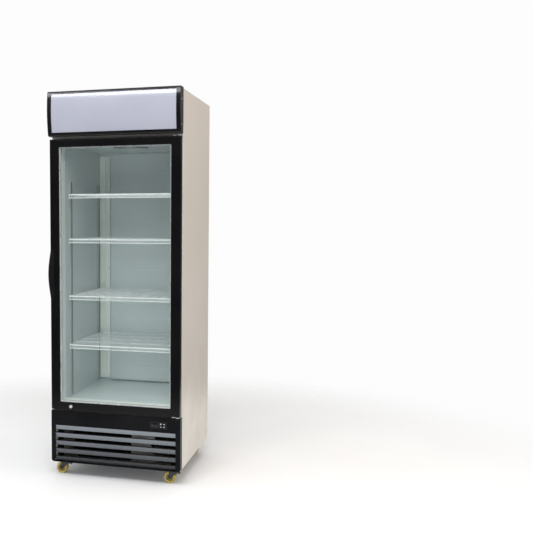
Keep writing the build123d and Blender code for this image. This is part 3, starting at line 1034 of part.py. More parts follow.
def make_fasteners():
    """Cap screws, hinge screws, side screws, guard screws and caster bolts, as separate solids."""
    pieces = []
    for x, y in bolt_places():
        low = CAB_BOTTOM - PLATE_T
        head = rod((x, y, low - BOLT_HEAD_H), (x, y, low), BOLT_HEAD_R)
        pieces.append(head + rod((x, y, low), (x, y, CAB_BOTTOM + BASE_T + BOLT_OVER), BOLT_R))
    cap = HEADER_W / 2
    for side in (-1, 1):
        for z in (HEADER_TOP - CAP_SCREWS[0], HEADER_BOTTOM + CAP_SCREWS[1]):
            pieces.append(screw((side * cap, -HEADER_BULGE * 0.55, z), (side, 0, 0), CAP_SCREW))
    plate_top = DOOR_TOP + BRACKET_GAP + BRACKET_T
    plate_low = DOOR_BOTTOM - BRACKET_GAP - BRACKET_T
    inset, along = BRACKET_SCREWS
    for x in (PIVOT_X - BRACKET_W + BRACKET_NOSE + inset, PIVOT_X + BRACKET_NOSE - inset):
        for z in (plate_top + along, plate_low - along):
            pieces.append(screw((x, -BRACKET_LEG, z), (0, -1, 0), HINGE_SCREW))
    for up in SIDE_SCREW_UP:
        for side in (-1, 1):
            pieces.append(screw((side * HALF_W, SIDE_SCREW_Y, DOOR_BOTTOM + up), (side, 0, 0), SIDE_SCREW))
    rib_x = LAMP_POST_IN + LAMP_RIB_W / 2
    rib_y = LINER_BACK - LAMP_RIB_D
    low = FLOOR_Z + LAMP_END + LAMP_SCREW_IN
    high = CEILING_Z - LAMP_END - LAMP_SCREW_IN
    for side in (-1, 1):
        for z in (low, (low + high) / 2, high):
            pieces.append(screw((side * rib_x, rib_y, z), (0, -1, 0), LAMP_SCREW))
    half = GUARD_W / 2 - SCREW_IN
    for x in (-half, half):
        for z in (GUARD_BOTTOM + SCREW_IN, FOAM_BOTTOM - 2 - SCREW_IN):
            pieces.append(screw((x, CAB_D + GUARD_T, z), (0, 1, 0), GUARD_SCREW))
    save("fasteners", *pieces)


make_shell()
make_insulation()
make_header()
make_grille()
make_door()
make_hinges()
make_shelves()
make_fittings()
make_bay()
make_casters()
make_fasteners()
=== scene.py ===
import math

import bmesh
import bpy
from mathutils import Matrix, Vector


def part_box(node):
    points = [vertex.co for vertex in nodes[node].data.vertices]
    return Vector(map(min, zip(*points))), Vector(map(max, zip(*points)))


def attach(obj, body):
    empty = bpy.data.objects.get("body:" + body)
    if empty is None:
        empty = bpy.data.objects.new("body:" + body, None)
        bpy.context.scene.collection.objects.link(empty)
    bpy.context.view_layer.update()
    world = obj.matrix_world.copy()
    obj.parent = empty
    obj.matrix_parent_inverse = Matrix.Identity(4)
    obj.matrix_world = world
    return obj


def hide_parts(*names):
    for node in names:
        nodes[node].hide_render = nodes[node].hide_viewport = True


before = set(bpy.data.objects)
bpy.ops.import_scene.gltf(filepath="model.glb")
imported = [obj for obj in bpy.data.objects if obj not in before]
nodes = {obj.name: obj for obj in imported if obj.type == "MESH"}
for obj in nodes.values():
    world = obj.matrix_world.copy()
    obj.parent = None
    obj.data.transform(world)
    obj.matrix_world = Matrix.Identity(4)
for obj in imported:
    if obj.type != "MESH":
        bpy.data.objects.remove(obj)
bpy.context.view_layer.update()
MM = 0.001


# ---------------------------------------------------------------- cabinet sheet
# Side panels, top, back and front rails are one-millimetre steel sheet, folded on a brake and baked
# with a gloss white enamel. The enamel keeps a fine orange peel, and the wide panels are never dead flat.

class Flow:
    """A value on its way through one finish's nodes. Sums and products of it add Math nodes."""

    def __init__(self, tree, socket):
        self.tree = tree
        self.socket = socket

    def node(self, kind, settings=None, sockets=None, out=0):
        """Adds any other node: its settings first, then the values or links of its sockets."""
        made = self.tree.nodes.new(kind)
        for name, value in (settings or {}).items():
            setattr(made, name, value)
        for name, value in (sockets or {}).items():
            if isinstance(value, Flow):
                self.tree.links.new(value.socket, made.inputs[name])
            else:
                made.inputs[name].default_value = value
        return Flow(self.tree, made.outputs[out]) if made.outputs else None

    def maths(self, operation, *values):
        """A Math node on these values."""
        return self.node("ShaderNodeMath", {"operation": operation}, dict(enumerate(values)))

    def __add__(self, other):
        return self.maths("ADD", self, other)

    def __sub__(self, other):
        return self.maths("SUBTRACT", self, other)

    def __rsub__(self, other):
        return self.maths("SUBTRACT", other, self)

    def __mul__(self, other):
        return self.maths("MULTIPLY", self, other)

    def __abs__(self):
        return self.maths("ABSOLUTE", self)

    __radd__ = __add__
    __rmul__ = __mul__

    def rise(self, low, high):
        """0 below low, 1 above high, and an easy slope between them."""
        span = {"Value": self, "From Min": low, "From Max": high}
        return self.node("ShaderNodeMapRange", {"interpolation_type": "SMOOTHSTEP"}, span)

    def mix(self, first, second):
        """The first colour where this value is 0, and the second where it is 1."""
        return self.node("ShaderNodeMix", {"data_type": "RGBA"}, {0: self, 6: first, 7: second}, out=2)

    def axes(self):
        """This place's three coordinates."""
        split = self.node("ShaderNodeSeparateXYZ", None, {0: self}).socket.node
        return [Flow(self.tree, output) for output in split.outputs]

    def noise(self, scale, detail=3.0, stretch=(1.0, 1.0, 1.0)):
        """Clouds of one size; stretch draws them out along an axis whose factor is small."""
        place = self.node("ShaderNodeVectorMath", {"operation": "MULTIPLY"}, {0: self, 1: stretch})
        return self.node("ShaderNodeTexNoise", None, {"Vector": place, "Scale": scale, "Detail": detail})


def new_finish(name):
    """A new material, and the place on the piece in metres that its nodes start from."""
    finish = bpy.data.materials.new(name)
    finish.use_nodes = True
    finish.node_tree.nodes.clear()
    return finish, Flow(finish.node_tree, None).node("ShaderNodeTexCoord", out="Object")


def surface(place, colour, rough, relief=None, depth=0.1 * MM, **constants):
    """Ends a finish in one surface. A relief is a height that is counted in depths."""
    sockets = {"Base Color": colour, "Roughness": rough}
    if relief is not None:
        sockets["Normal"] = place.node("ShaderNodeBump", None, {"Height": relief, "Distance": depth})
    for name, value in constants.items():
        sockets[name.replace("_", " ").title().replace("Ior", "IOR")] = value
    shader = place.node("ShaderNodeBsdfPrincipled", None, sockets)
    place.node("ShaderNodeOutputMaterial", None, {"Surface": shader})


def dress(finish, *names):
    """Puts a finish on CAD nodes."""
    for name in names:
        for holder in nodes[name].material_slots:
            holder.material = finish


def white_enamel():
    """Gloss white bake enamel with orange peel, slow waves in the sheet and hand smears; its white carries a
    painted warm tint, and it turns darker and browner towards the bottom.
    """
    finish, place = new_finish("white_enamel")
    _, _, height = place.axes()
    cloud = place.noise(1.3, 4.0).rise(0.35, 0.65)
    smear = place.noise(6.0, 4.0)
    runs = place.noise(55.0, 2.0, (1.0, 1.0, 0.03)).rise(0.56, 0.75)
    # Darker and browner towards the bottom, patchy with the smears, with faint runs over all.
    dust = (1 - height.rise(0.1, 1.1)) * (smear.rise(0.2, 0.7) * 0.3 + 0.3) + runs * 0.012
    # The white is tinted warm beige: painted warm light from the surroundings over the enamel's own white.
    warm_tinted_white = cloud.mix((0.735, 0.695, 0.64, 1), (0.775, 0.74, 0.685, 1))
    colour = dust.mix(warm_tinted_white, (0.46, 0.43, 0.37, 1))
    rough = smear * 0.1 + place.noise(60.0, 2.0) * 0.04 + 0.24
    relief = place.noise(380.0, 2.0) * 0.07 + place.noise(2.4, 1.0) * 6.0
    surface(place, colour, rough, relief, coat_weight=0.12, coat_roughness=0.14)
    return finish


dress(white_enamel(), "side_panels", "top_panel", "back_panel", "front_rails")


# ---------------------------------------------------------------- foam, liner and breaker strip
# Rigid urethane foam is blown between the sheet and a liner of vacuum-formed white styrene. A snap-in
# breaker strip of the same plastic closes the gap round the opening, where the gasket seals.

def blown_foam():
    """Pale yellow foam with open cells on its cut faces."""
    finish, place = new_finish("blown_foam")
    cells = place.node("ShaderNodeTexVoronoi", None, {"Vector": place, "Scale": 700.0})
    age = place.noise(4.0, 4.0).rise(0.3, 0.7)
    colour = age.mix((0.72, 0.62, 0.36, 1), (0.78, 0.71, 0.5, 1))
    surface(place, colour, 0.9 - cells * 0.2, cells, 0.8 * MM)
    return finish


def formed_styrene(name, low, high, gloss):
    """Glossy white plastic, thinner and a little waved where it was drawn down."""
    finish, place = new_finish(name)
    cloud = place.noise(2.2, 3.0).rise(0.3, 0.7)
    wipe = place.noise(16.0, 4.0, (1.0, 1.0, 0.5))
    colour = cloud.mix(low, high)
    rough = wipe * 0.12 + gloss
    relief = place.noise(5.0, 1.0) * 2.0 + place.noise(260.0, 1.0) * 0.04
    surface(place, colour, rough, relief, coat_weight=0.08, coat_roughness=0.12)
    return finish


liner_finish = formed_styrene("liner_styrene", (0.58, 0.645, 0.645, 1), (0.64, 0.695, 0.7, 1), 0.24)
# The breaker strip and lamp channels take a paler, greener copy of the liner's styrene: painted light on
# them.
lit_styrene = formed_styrene("styrene_painted_lit", (0.82, 0.87, 0.83, 1), (0.88, 0.92, 0.885, 1), 0.26)
dress(blown_foam(), "foam_body")
dress(liner_finish, "inner_liner")
dress(lit_styrene, "breaker_strip")


# ---------------------------------------------------------------- back air duct
# A tall styrene cover stands in front of the back wall and carries the cold air down. It is formed
# with fine horizontal ribs that stiffen it, and a deeper bead between its bays.

def fit(name, mesh, finish, body, slot, *stands_for, crease=35.0):
    """Puts a made mesh on its body, with its finish and the CAD nodes that it stands for; its slot is not
    used.
    """
    made = bpy.data.objects.new(name, mesh)
    bpy.context.scene.collection.objects.link(made)
    mesh.materials.clear()
    mesh.materials.append(finish)
    mesh.shade_smooth()
    mesh.set_sharp_from_angle(angle=math.radians(crease))
    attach(made, body)
    if stands_for:
        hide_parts(*stands_for)
    return made


def as_mesh(name, bm):
    """Closes a bmesh into a mesh, with its normals facing out."""
    bmesh.ops.recalc_face_normals(bm, faces=bm.faces)
    mesh = bpy.data.meshes.new(name)
    bm.to_mesh(mesh)
    bm.free()
    return mesh


def ribbed_duct():
    """The duct cover: a finely ribbed front with a deeper bead between its bays, and two returns."""
    low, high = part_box("duct_panel")
    rib, deep, bead, bay = 9.0 * MM, 0.45 * MM, 1.6 * MM, 16
    wave = ((0.0, 0.0), (0.3, 0.2), (0.42, 0.75), (0.5, 1.0), (0.58, 0.75), (0.7, 0.2))
    sheet = 1.5 * MM
    back = high.y - 0.3 * MM
    face = low.y + 0.2 * MM
    rows = [(low.z, 0.0)]
    for n in range(int((high.z - low.z) / rib) - 1):
        z = low.z + (n + 0.5) * rib
        sink = bead if n % bay == bay // 2 else deep
        for share, part in wave:
            rows.append((z + share * rib, part * sink))
    rows.append((high.z, 0.0))
    edges = [0.0, 0.1 * MM, 1.2 * MM, 4 * MM]
    turned_back = (back, face + 1.6 * MM, face + 0.4 * MM)
    columns = [low.x + edge for edge in edges] + [high.x - edge for edge in reversed(edges)]
    bm = bmesh.new()
    grid = []
    for z, sink in rows:
        line = []
        for n, x in enumerate(columns):
            from_edge = min(n, len(columns) - 1 - n)
            y = turned_back[from_edge] if from_edge < len(turned_back) else face + sink
            line.append(bm.verts.new((x, y, z)))
        grid.append(line)
    for lower, upper in zip(grid, grid[1:]):
        for m in range(len(columns) - 1):
            bm.faces.new((lower[m], lower[m + 1], upper[m + 1], upper[m]))
    made = fit("air_duct_cover", as_mesh("air_duct_cover", bm), liner_finish, "cabinet", "liner_white",
               "duct_panel", crease=50.0)
    wall = made.modifiers.new("sheet", "SOLIDIFY")
    wall.thickness = sheet
    wall.offset = -1.0


ribbed_duct()


# ---------------------------------------------------------------- ceiling, pilasters and clips
# A white panel with a wire guard hides the cooling chamber. Slotted steel strips run up the side walls,
# and stamped clips hook into them to carry the shelves.

def slotted_strip():
    """Galvanised strip steel, rubbed where clips were moved, with a dark rim of painted shade round each
    slot.
    """
    finish, place = new_finish("strip_steel")
    low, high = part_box("shelf_pilasters")
    _, depth, height = place.axes()
    pitch, slot_in, width = 13.0 * MM, 24.0 * MM, 30.0 * MM
    rub = place.noise(60.0, 4.0, (1.0, 1.0, 0.3)).rise(0.6, 0.75)
    grain = place.noise(1500.0, 2.0)
    from_slot = place.maths("PINGPONG", height - low.z, pitch / 2)
    # A dark band round each row of slots is painted shade that deepens the slots.
    slot_shade = 0.0
    level = 1 - from_slot.rise(4.2 * MM, 5.4 * MM)
    for line in (low.y + slot_in, high.y - width + slot_in):
        slot_shade = slot_shade + (1 - abs(depth - line).rise(4.6 * MM, 6.0 * MM)) * level
    zinc = (rub * 0.35).mix((0.42, 0.45, 0.455, 1), (0.34, 0.355, 0.36, 1))
    colour = slot_shade.mix(zinc, (0.05, 0.055, 0.06, 1))
    surface(place, colour, 0.36 - rub * 0.1, grain * 0.12, metallic=0.1)
    return finish


def zinc_plate(name, bright, dull, gloss):
    """Zinc-plated steel: cool grey with faint yellow and blue passivation, brushed by tumbling."""
    finish, place = new_finish(name)
    bloom = place.noise(90.0, 4.0).rise(0.3, 0.7)
    tint = place.noise(35.0, 2.0).rise(0.4, 0.7)
    scuff = place.noise(420.0, 2.0, (1.0, 0.15, 0.6)).rise(0.45, 0.8)
    grey = bloom.mix(dull, bright)
    colour = (tint * 0.25).mix(grey, (0.62, 0.57, 0.4, 1))
    surface(place, colour, gloss + scuff * 0.2 + bloom * 0.08, scuff * 0.1, metallic=1.0)
    return finish


bright_zinc = zinc_plate("bright_zinc", (0.74, 0.75, 0.74, 1), (0.52, 0.53, 0.53, 1), 0.22)
dress(slotted_strip(), "shelf_pilasters")
dress(zinc_plate("clip_zinc", (0.7, 0.71, 0.7, 1), (0.55, 0.56, 0.56, 1), 0.3), "shelf_clips")
dress(liner_finish, "ceiling_panel")


# ---------------------------------------------------------------- corner lamps
# An extruded channel stands in each back corner. A snap-in opal acrylic lens covers its LED strip and
# shows faint pale green when the lamps are off.

def opal_lens():
    """Opal acrylic with drawn lines along it and a faint painted glow, though the lamps are off."""
    finish, place = new_finish("opal_lens")
    drawn = place.noise(500.0, 2.0, (1.0, 1.0, 0.01))
    cloud = place.noise(9.0, 3.0).rise(0.3, 0.7)
    colour = cloud.mix((0.68, 0.76, 0.7, 1), (0.76, 0.83, 0.78, 1))
    # The lens emits a faint green-white glow of its own: painted light, as the LED strip is not lit.
    painted_glow = (drawn * 0.4 + 0.6).mix((0.0, 0.0, 0.0, 1), (0.74, 0.84, 0.76, 1))
    surface(place, colour, 0.22 + drawn * 0.12, drawn * 0.2, emission_color=painted_glow, emission_strength=0.07,
            coat_weight=0.3)
    return finish


# The lamp channels wear the paler styrene copy: painted light.
dress(lit_styrene, "lamp_channels")
dress(opal_lens(), "lamp_lenses")


# ---------------------------------------------------------------- cooling chamber
# Above the ceiling panel sit the evaporator, rolled aluminium fins on tubes, and a moulded fan on a
# small shaded-pole motor. The condenser fan in the machine bay is the same part.

def rolled_fins(name, fin, lint_shade, dust):
    """Aluminium fins, bare or painted, streaked by rolling, with lint caught on the front edges."""
    finish, place = new_finish(name)
    streak = place.noise(260.0, 3.0, (1.0, 0.2, 0.05))
    lint = place.noise(45.0, 5.0).rise(0.5, 0.75) * dust
    surface(place, lint.mix(fin, lint_shade), streak * 0.3 + 0.25 + lint * 0.3, streak * 0.3, metallic=0.7)
    return finish


def moulded(name, colour_low, colour_high, gloss, grain=0.08, scuffs=0.0, mirror=0.5):
    """Injection-moulded plastic or black paint with a fine grain, faint flow marks and hand polish."""
    finish, place = new_finish(name)
    flow = place.noise(9.0, 4.0, (0.5, 1.0, 1.0)).rise(0.3, 0.7)
    polish = place.noise(28.0, 4.0)
    spark = place.noise(1700.0, 1.0)
    scratch = place.noise(240.0, 3.0, (0.04, 1.0, 1.0)).rise(0.62, 0.8) * scuffs
    colour = scratch.mix(flow.mix(colour_low, colour_high), (0.12, 0.12, 0.12, 1))
    relief = spark * grain + place.noise(14.0, 1.0) * 1.5
    surface(place, colour, polish * 0.16 + gloss + scratch * 0.2, relief, specular_ior_level=mirror)
    return finish


dress(rolled_fins("cold_fins", (0.66, 0.67, 0.68, 1), (0.3, 0.28, 0.25, 1), 0.1), "evaporator_coil")
dress(rolled_fins("black_fins", (0.008, 0.008, 0.009, 1), (0.03, 0.028, 0.026, 1), 0.6), "condenser_coil")
dress(moulded("pale_fan", (0.42, 0.45, 0.46, 1), (0.5, 0.53, 0.54, 1), 0.34), "evaporator_fan")
dress(moulded("dark_fan", (0.045, 0.047, 0.05, 1), (0.06, 0.062, 0.066, 1), 0.34), "condenser_fan")
dress(moulded("motor_enamel", (0.03, 0.03, 0.033, 1), (0.042, 0.042, 0.045, 1), 0.3), "fan_motors")


# ---------------------------------------------------------------- wire shelves
# Each shelf is hard-drawn steel wire: a heavy frame, forty-odd thin deck wires that bend down over the
# front, three bearers below and a front rail. It is spot-welded, then dipped in white plastic.

def dipped_wire():
    """White plastic coating, thicker and glossier over the welds."""
    finish, place = new_finish("dipped_wire")
    runs = place.noise(30.0, 3.0).rise(0.3, 0.7)
    peel = place.noise(520.0, 2.0)
    colour = runs.mix((0.88, 0.9, 0.905, 1), (0.95, 0.96, 0.965, 1))
    surface(place, colour, runs * 0.12 + 0.2, peel * 0.3, coat_weight=0.3, coat_roughness=0.12)
    return finish


def add_wires(bm, paths, radius, closed=False, sides=2):
    """Adds round wire along each path of points."""
    line = bpy.data.curves.new("wire", "CURVE")
    line.dimensions = "3D"
    line.bevel_depth = radius
    line.bevel_resolution = sides
    line.use_fill_caps = True
    for path in paths:
        spline = line.splines.new("POLY")
        spline.points.add(len(path) - 1)
        for point, place in zip(spline.points, path):
            point.co = (*place, 1.0)
        spline.use_cyclic_u = closed
    holder = bpy.data.objects.new("wire", line)
    mesh = bpy.data.meshes.new_from_object(holder)
    bm.from_mesh(mesh)
    bpy.data.objects.remove(holder)
    bpy.data.curves.remove(line)
    bpy.data.meshes.remove(mesh)


def bend(centre, radius, start, end, steps, axes):
    """Points round part of a circle, in degrees, in the plane of two axes."""
    points = []
    for n in range(steps + 1):
        turn = math.radians(start + (end - start) * n / steps)
        point = list(centre)
        point[axes[0]] += radius * math.cos(turn)
        point[axes[1]] += radius * math.sin(turn)
        points.append(tuple(point))
    return points


def wire_shelf(number, finish):
    """One shelf in the place of its CAD solid."""
    name = f"shelf_{number}"
    low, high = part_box(name)
    heavy, thin, rail, bearer = 3.0 * MM, 1.5 * MM, 2.0 * MM, 2.4 * MM
    weld, deck_weld, corner, turn, pitch = 0.4 * MM, 0.6 * MM, 10 * MM, 4.0 * MM, 12.3 * MM
    deck = high.z - thin
    under = deck - thin - heavy + deck_weld
    front = low.y + thin
    back = high.y - heavy
    side = high.x - heavy
    frame_front = low.y + 2 * thin + heavy - weld
    bm = bmesh.new()
    loop = []
    right, rear = side - corner, back - corner
    for x, y, start in ((right, rear, 0), (-right, rear, 90),
                        (-right, frame_front + corner, 180), (right, frame_front + corner, 270)):
        loop += bend((x, y, under), corner, start, start + 90, 4, (0, 1))
    add_wires(bm, [loop], heavy, closed=True, sides=3)
    bearers = []
    for n in range(1, 4):
        y = frame_front + (back - frame_front) * n / 4
        bearers.append([(-side, y, under + weld), (side, y, under + weld)])
    add_wires(bm, bearers, bearer)
    foot = low.z + rail
    rail_y = low.y + 2 * thin + rail - weld
    add_wires(bm, [[(low.x + rail, rail_y, foot), (high.x - rail, rail_y, foot)]], rail)
    count = int((2 * (side - 2 * heavy)) // pitch) + 1
    decks = []
    for n in range(count):
        x = (n - (count - 1) / 2) * pitch
        nose = bend((x, front + turn, deck - turn), turn, 90, 180, 4, (1, 2))
        decks.append([(x, back, deck)] + nose + [(x, front, low.z + deck_weld)])
    add_wires(bm, decks, thin)
    fit(f"wire_{name}", as_mesh(name, bm), finish, name, "shelf_coating", name, crease=50.0)


shelf_finish = dipped_wire()
for number in range(1, 5):
    wire_shelf(number, shelf_finish)


# ---------------------------------------------------------------- sign box
# Two black rails and two end caps hold a bowed sheet of opal acrylic in front of a pair of LED tubes.
# The mouldings are high-gloss black, and the acrylic is lavender white with a polished face.

def gloss_black():
    """High-gloss black moulding with a faint peel, wiping haze and fine hair scratches."""
    finish, place = new_finish("gloss_black")
    haze = place.noise(12.0, 5.0, (0.5, 1.0, 1.0))
    hair = place.noise(300.0, 2.0, (0.05, 1.0, 1.0)).rise(0.66, 0.8)
    tone = place.noise(5.0, 2.0).rise(0.3, 0.7)
    black = tone.mix((0.003, 0.003, 0.0035, 1), (0.006, 0.0058, 0.006, 1))
    colour = (hair * 0.12).mix(black, (0.1, 0.1, 0.1, 1))
    surface(place, colour, haze * 0.1 + 0.05 + hair * 0.1, place.noise(16.0, 1.0) * 2.0,
            specular_ior_level=0.4)
    return finish


def sign_acrylic():
    """Opal sign face: even lavender white with a painted backlight glow, a shade brighter over the tubes and
    dimmer to its edges and ends.
    """
    finish, place = new_finish("sign_acrylic")
    low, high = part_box("sign_lens")
    across, _, height = place.axes()
    middle = (low.z + high.z) / 2
    half = (high.z - low.z) / 2
    # The sign face glows by itself in place of the unlit tubes: painted light, dimmed towards its edges and
    # ends.
    edge = abs(height - middle).rise(half * 0.55, half)
    end = abs(across).rise(high.x * 0.8, high.x)
    cloud = place.noise(3.0, 3.0).rise(0.3, 0.7)
    grain = place.noise(900.0, 2.0)
    pale = cloud.mix((0.31, 0.315, 0.37, 1), (0.335, 0.34, 0.395, 1))
    # Painted backlight glow.
    painted_glow = (edge * 0.45 + end * 0.3).mix((0.56, 0.575, 0.68, 1), (0.34, 0.35, 0.43, 1))
    surface(place, pale, grain * 0.04 + 0.1 + cloud * 0.05, place.noise(9.0, 1.0) * 1.5,
            emission_color=painted_glow, emission_strength=0.05, coat_weight=0.6, coat_roughness=0.02)
    return finish


def tube_glass():
    """Frosted LED tube."""
    finish, place = new_finish("tube_glass")
    frost = place.noise(60.0, 3.0)
    surface(place, frost.rise(0.3, 0.7).mix((0.85, 0.86, 0.88, 1), (0.92, 0.92, 0.94, 1)), frost * 0.3 + 0.3)
    return finish


sign_black = gloss_black()
dress(sign_black, "header_rails", "header_end_caps")
dress(sign_acrylic(), "sign_lens")
dress(tube_glass(), "header_lamps")


# ---------------------------------------------------------------- lower panel and controller
# One black moulding hides the machine bay. Five grey louvers are clipped across it, and a small
# thermostat with a smoked window and four keys sits at its top right.

panel_black = moulded("panel_black", (0.003, 0.0032, 0.004, 1), (0.0055, 0.0057, 0.0065, 1),
                      gloss=0.16, grain=0.04, scuffs=0.1, mirror=0.08)
bezel_black = moulded("bezel_black", (0.004, 0.004, 0.005, 1), (0.006, 0.006, 0.007, 1),
                      gloss=0.3, grain=0.15, mirror=0.25)
key_rubber = moulded("key_rubber", (0.01, 0.01, 0.011, 1), (0.014, 0.014, 0.015, 1),
                     gloss=0.5, grain=0.2, mirror=0.3)
dress(panel_black, "grille_panel")
dress(bezel_black, "controller_bezel")
dress(key_rubber, "key_set", "key_up", "key_down", "key_defrost")


def louver_grey():
    """Grey faces over a black moulding, the grey partly a painted reflection of the pale floor; painted shade
    darkens them towards the bottom and turns the upward faces and the lowest louver near black; dust lies on
    the upper webs.
    """
    finish, place = new_finish("louver_grey")
    _, _, height = place.axes()
    flow = place.noise(7.0, 3.0, (0.2, 1.0, 1.0)).rise(0.3, 0.7)
    dust = place.noise(60.0, 5.0).rise(0.45, 0.8)
    facing = place.node("ShaderNodeNewGeometry", out="Normal").axes()[2].rise(0.4, 0.9)
    low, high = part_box("grille_louvers")
    # The grey stands partly for the pale floor mirrored in the black louvers: painted reflection.
    shade = flow.mix((0.18, 0.2, 0.22, 1), (0.205, 0.23, 0.25, 1))
    # Painted shade: darker towards the bottom of the grille.
    shade = height.rise(low.z, high.z + 30 * MM).mix((0.035, 0.04, 0.046, 1), shade)
    shaded_lowest = 1 - height.rise(low.z + 25.0 * MM, low.z + 30.0 * MM)
    # Painted shade: upward faces and the lowest louver go near black.
    shade = (facing + shaded_lowest * 0.6).mix(shade, (0.006, 0.0065, 0.007, 1))
    colour = (dust * facing * 0.12 + dust * 0.05).mix(shade, (0.34, 0.32, 0.29, 1))
    surface(place, colour, 0.28 + dust * 0.2, place.noise(1400.0, 1.0) * 0.08)
    return finish


def smoked_window():
    """Smoked acrylic with a trace of the unlit digits' mask behind it."""
    finish, place = new_finish("smoked_window")
    low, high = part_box("controller_bezel")
    _, _, height = place.axes()
    mask = abs(height - (low.z + high.z) / 2).rise(6.0 * MM, 7.0 * MM)
    wipe = place.noise(80.0, 3.0)
    colour = mask.mix((0.005, 0.003, 0.003, 1), (0.003, 0.003, 0.004, 1))
    surface(place, colour, wipe * 0.12 + 0.04, wipe * 0.1, specular_ior_level=0.4)
    return finish


def key_print():
    """White pad print, a little worn."""
    finish, place = new_finish("key_print")
    worn = place.noise(900.0, 3.0).rise(0.55, 0.75)
    colour = (worn * 0.5).mix((0.82, 0.83, 0.84, 1), (0.4, 0.4, 0.41, 1))
    surface(place, colour, worn * 0.2 + 0.4, worn * -0.1)
    return finish


def rounded(width, height, corner, steps=4):
    """Outline of a rounded rectangle about the origin, as (across, up)."""
    points = []
    for right, up, start in ((1, 1, 0), (-1, 1, 90), (-1, -1, 180), (1, -1, 270)):
        for n in range(steps + 1):
            turn = math.radians(start + 90 * n / steps)
            points.append((right * (width / 2 - corner) + corner * math.cos(turn),
                           up * (height / 2 - corner) + corner * math.sin(turn)))
    return points


def skin(bm, rings, joined=False):
    """Faces from each ring of points to the next, and from the last to the first where they are joined."""
    following = rings[1:] + rings[:1] if joined else rings[1:]
    for ring, after in zip(rings, following):
        for n in range(len(ring)):
            m = (n + 1) % len(ring)
            bm.faces.new((ring[n], ring[m], after[m], after[n]))


def add_plate(bm, outline, centre, thick, crown=0.0):
    """A plate that faces the front: its outline drawn back by its thickness, and crowned."""
    x, y, z = centre
    rims = []
    for share, forward in ((1.0, 0.0), (1.0, thick * 0.7), (0.96, thick)):
        rims.append([bm.verts.new((x + share * a, y - forward, z + share * b)) for a, b in outline])
    skin(bm, rims)
    bm.faces.new(rims[0])
    tip = bm.verts.new((x, y - thick - crown, z))
    for n in range(len(outline)):
        bm.faces.new((rims[-1][n], rims[-1][(n + 1) % len(outline)], tip))


def controller_window(finish):
    """The smoked window, set in the bezel's recess."""
    low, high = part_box("controller_bezel")
    recess_left, recess_right, recess_deep, margin = 7.3 * MM, 49.3 * MM, 0.95 * MM, 8.3 * MM
    corner, thick, crown = 1.5 * MM, 0.6 * MM, 0.2 * MM
    bm = bmesh.new()
    width = recess_right - recess_left
    height = high.z - low.z - 2 * margin
    centre = (low.x + (recess_left + recess_right) / 2, low.y + recess_deep, (low.z + high.z) / 2)
    add_plate(bm, rounded(width, height, corner), centre, thick, crown)
    mesh = as_mesh("controller_window", bm)
    fit("controller_window", mesh, finish, "cabinet", "black_plastic", crease=40.0)


def key_mark(name, shapes, finish):
    """The raised white mark on one key."""
    low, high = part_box(name)
    across, up = (low.x + high.x) / 2, (low.z + high.z) / 2
    sunk, proud = 0.05 * MM, 0.08 * MM
    bm = bmesh.new()
    for outline in shapes:
        rims = [[bm.verts.new((across + a * MM, face, up + b * MM)) for a, b in outline]
                for face in (low.y + sunk, low.y - proud)]
        skin(bm, rims)
        bm.faces.new(rims[0])
        bm.faces.new(rims[1])
    fit(f"mark_{name}", as_mesh(f"mark_{name}", bm), finish, name, "key_black")


def louver_end_shade_strips(finish):
    """Black strips on the cabinet's face behind both ends of the louvers, standing in for the shade there."""
    low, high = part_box("grille_louvers")
    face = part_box("side_panels")[0].y
    width, margin, past_ends, corner = 34.0 * MM, 8.0 * MM, 3.0 * MM, 2.0 * MM
    glue, thick, crown = 0.05 * MM, 2.4 * MM, 0.4 * MM
    height = high.z - low.z + 2 * margin
    bm = bmesh.new()
    for side in (-1, 1):
        centre = (side * (high.x - width / 2 + past_ends), face - glue, (low.z + high.z) / 2)
        add_plate(bm, rounded(width, height, corner), centre, thick, crown)
    fit("louver_end_shade_strips", as_mesh("louver_end_shade_strips", bm), finish, "cabinet", "black_plastic", crease=50.0)


dress(louver_grey(), "grille_louvers")
# The black strips behind the louver ends are painted shade that keeps the white face from showing through the
# gaps.
louver_end_shade_strips(moulded("shade_strip_black", (0.003, 0.003, 0.0035, 1), (0.005, 0.005, 0.0055, 1),
                  gloss=0.8, grain=0.6, mirror=0.1))
controller_window(smoked_window())
print_white = key_print()
bar = [(-3.3, -0.55), (3.3, -0.55), (3.3, 0.55), (-3.3, 0.55)]
arrow = [(-3.3, -2.0), (3.3, -2.0), (0.0, 2.4)]
key_mark("key_set", [[(a, b + lift) for a, b in bar] for lift in (-1.9, 0.0, 1.9)], print_white)
key_mark("key_up", [arrow], print_white)
key_mark("key_down", [[(a, -b) for a, b in arrow]], print_white)
star = []
for n in range(12):
    reach = 2.9 if n % 2 == 0 else 1.3
    star.append((reach * math.cos(math.pi * n / 6), reach * math.sin(math.pi * n / 6)))
key_mark("key_defrost", [star], print_white)


# ---------------------------------------------------------------- door
# Four mitred lengths of black-painted aluminium extrusion hold a sealed pair of toughened panes on a
# bright spacer. A magnetic gasket is pushed into the back, and a long moulded grip swells from one edge.

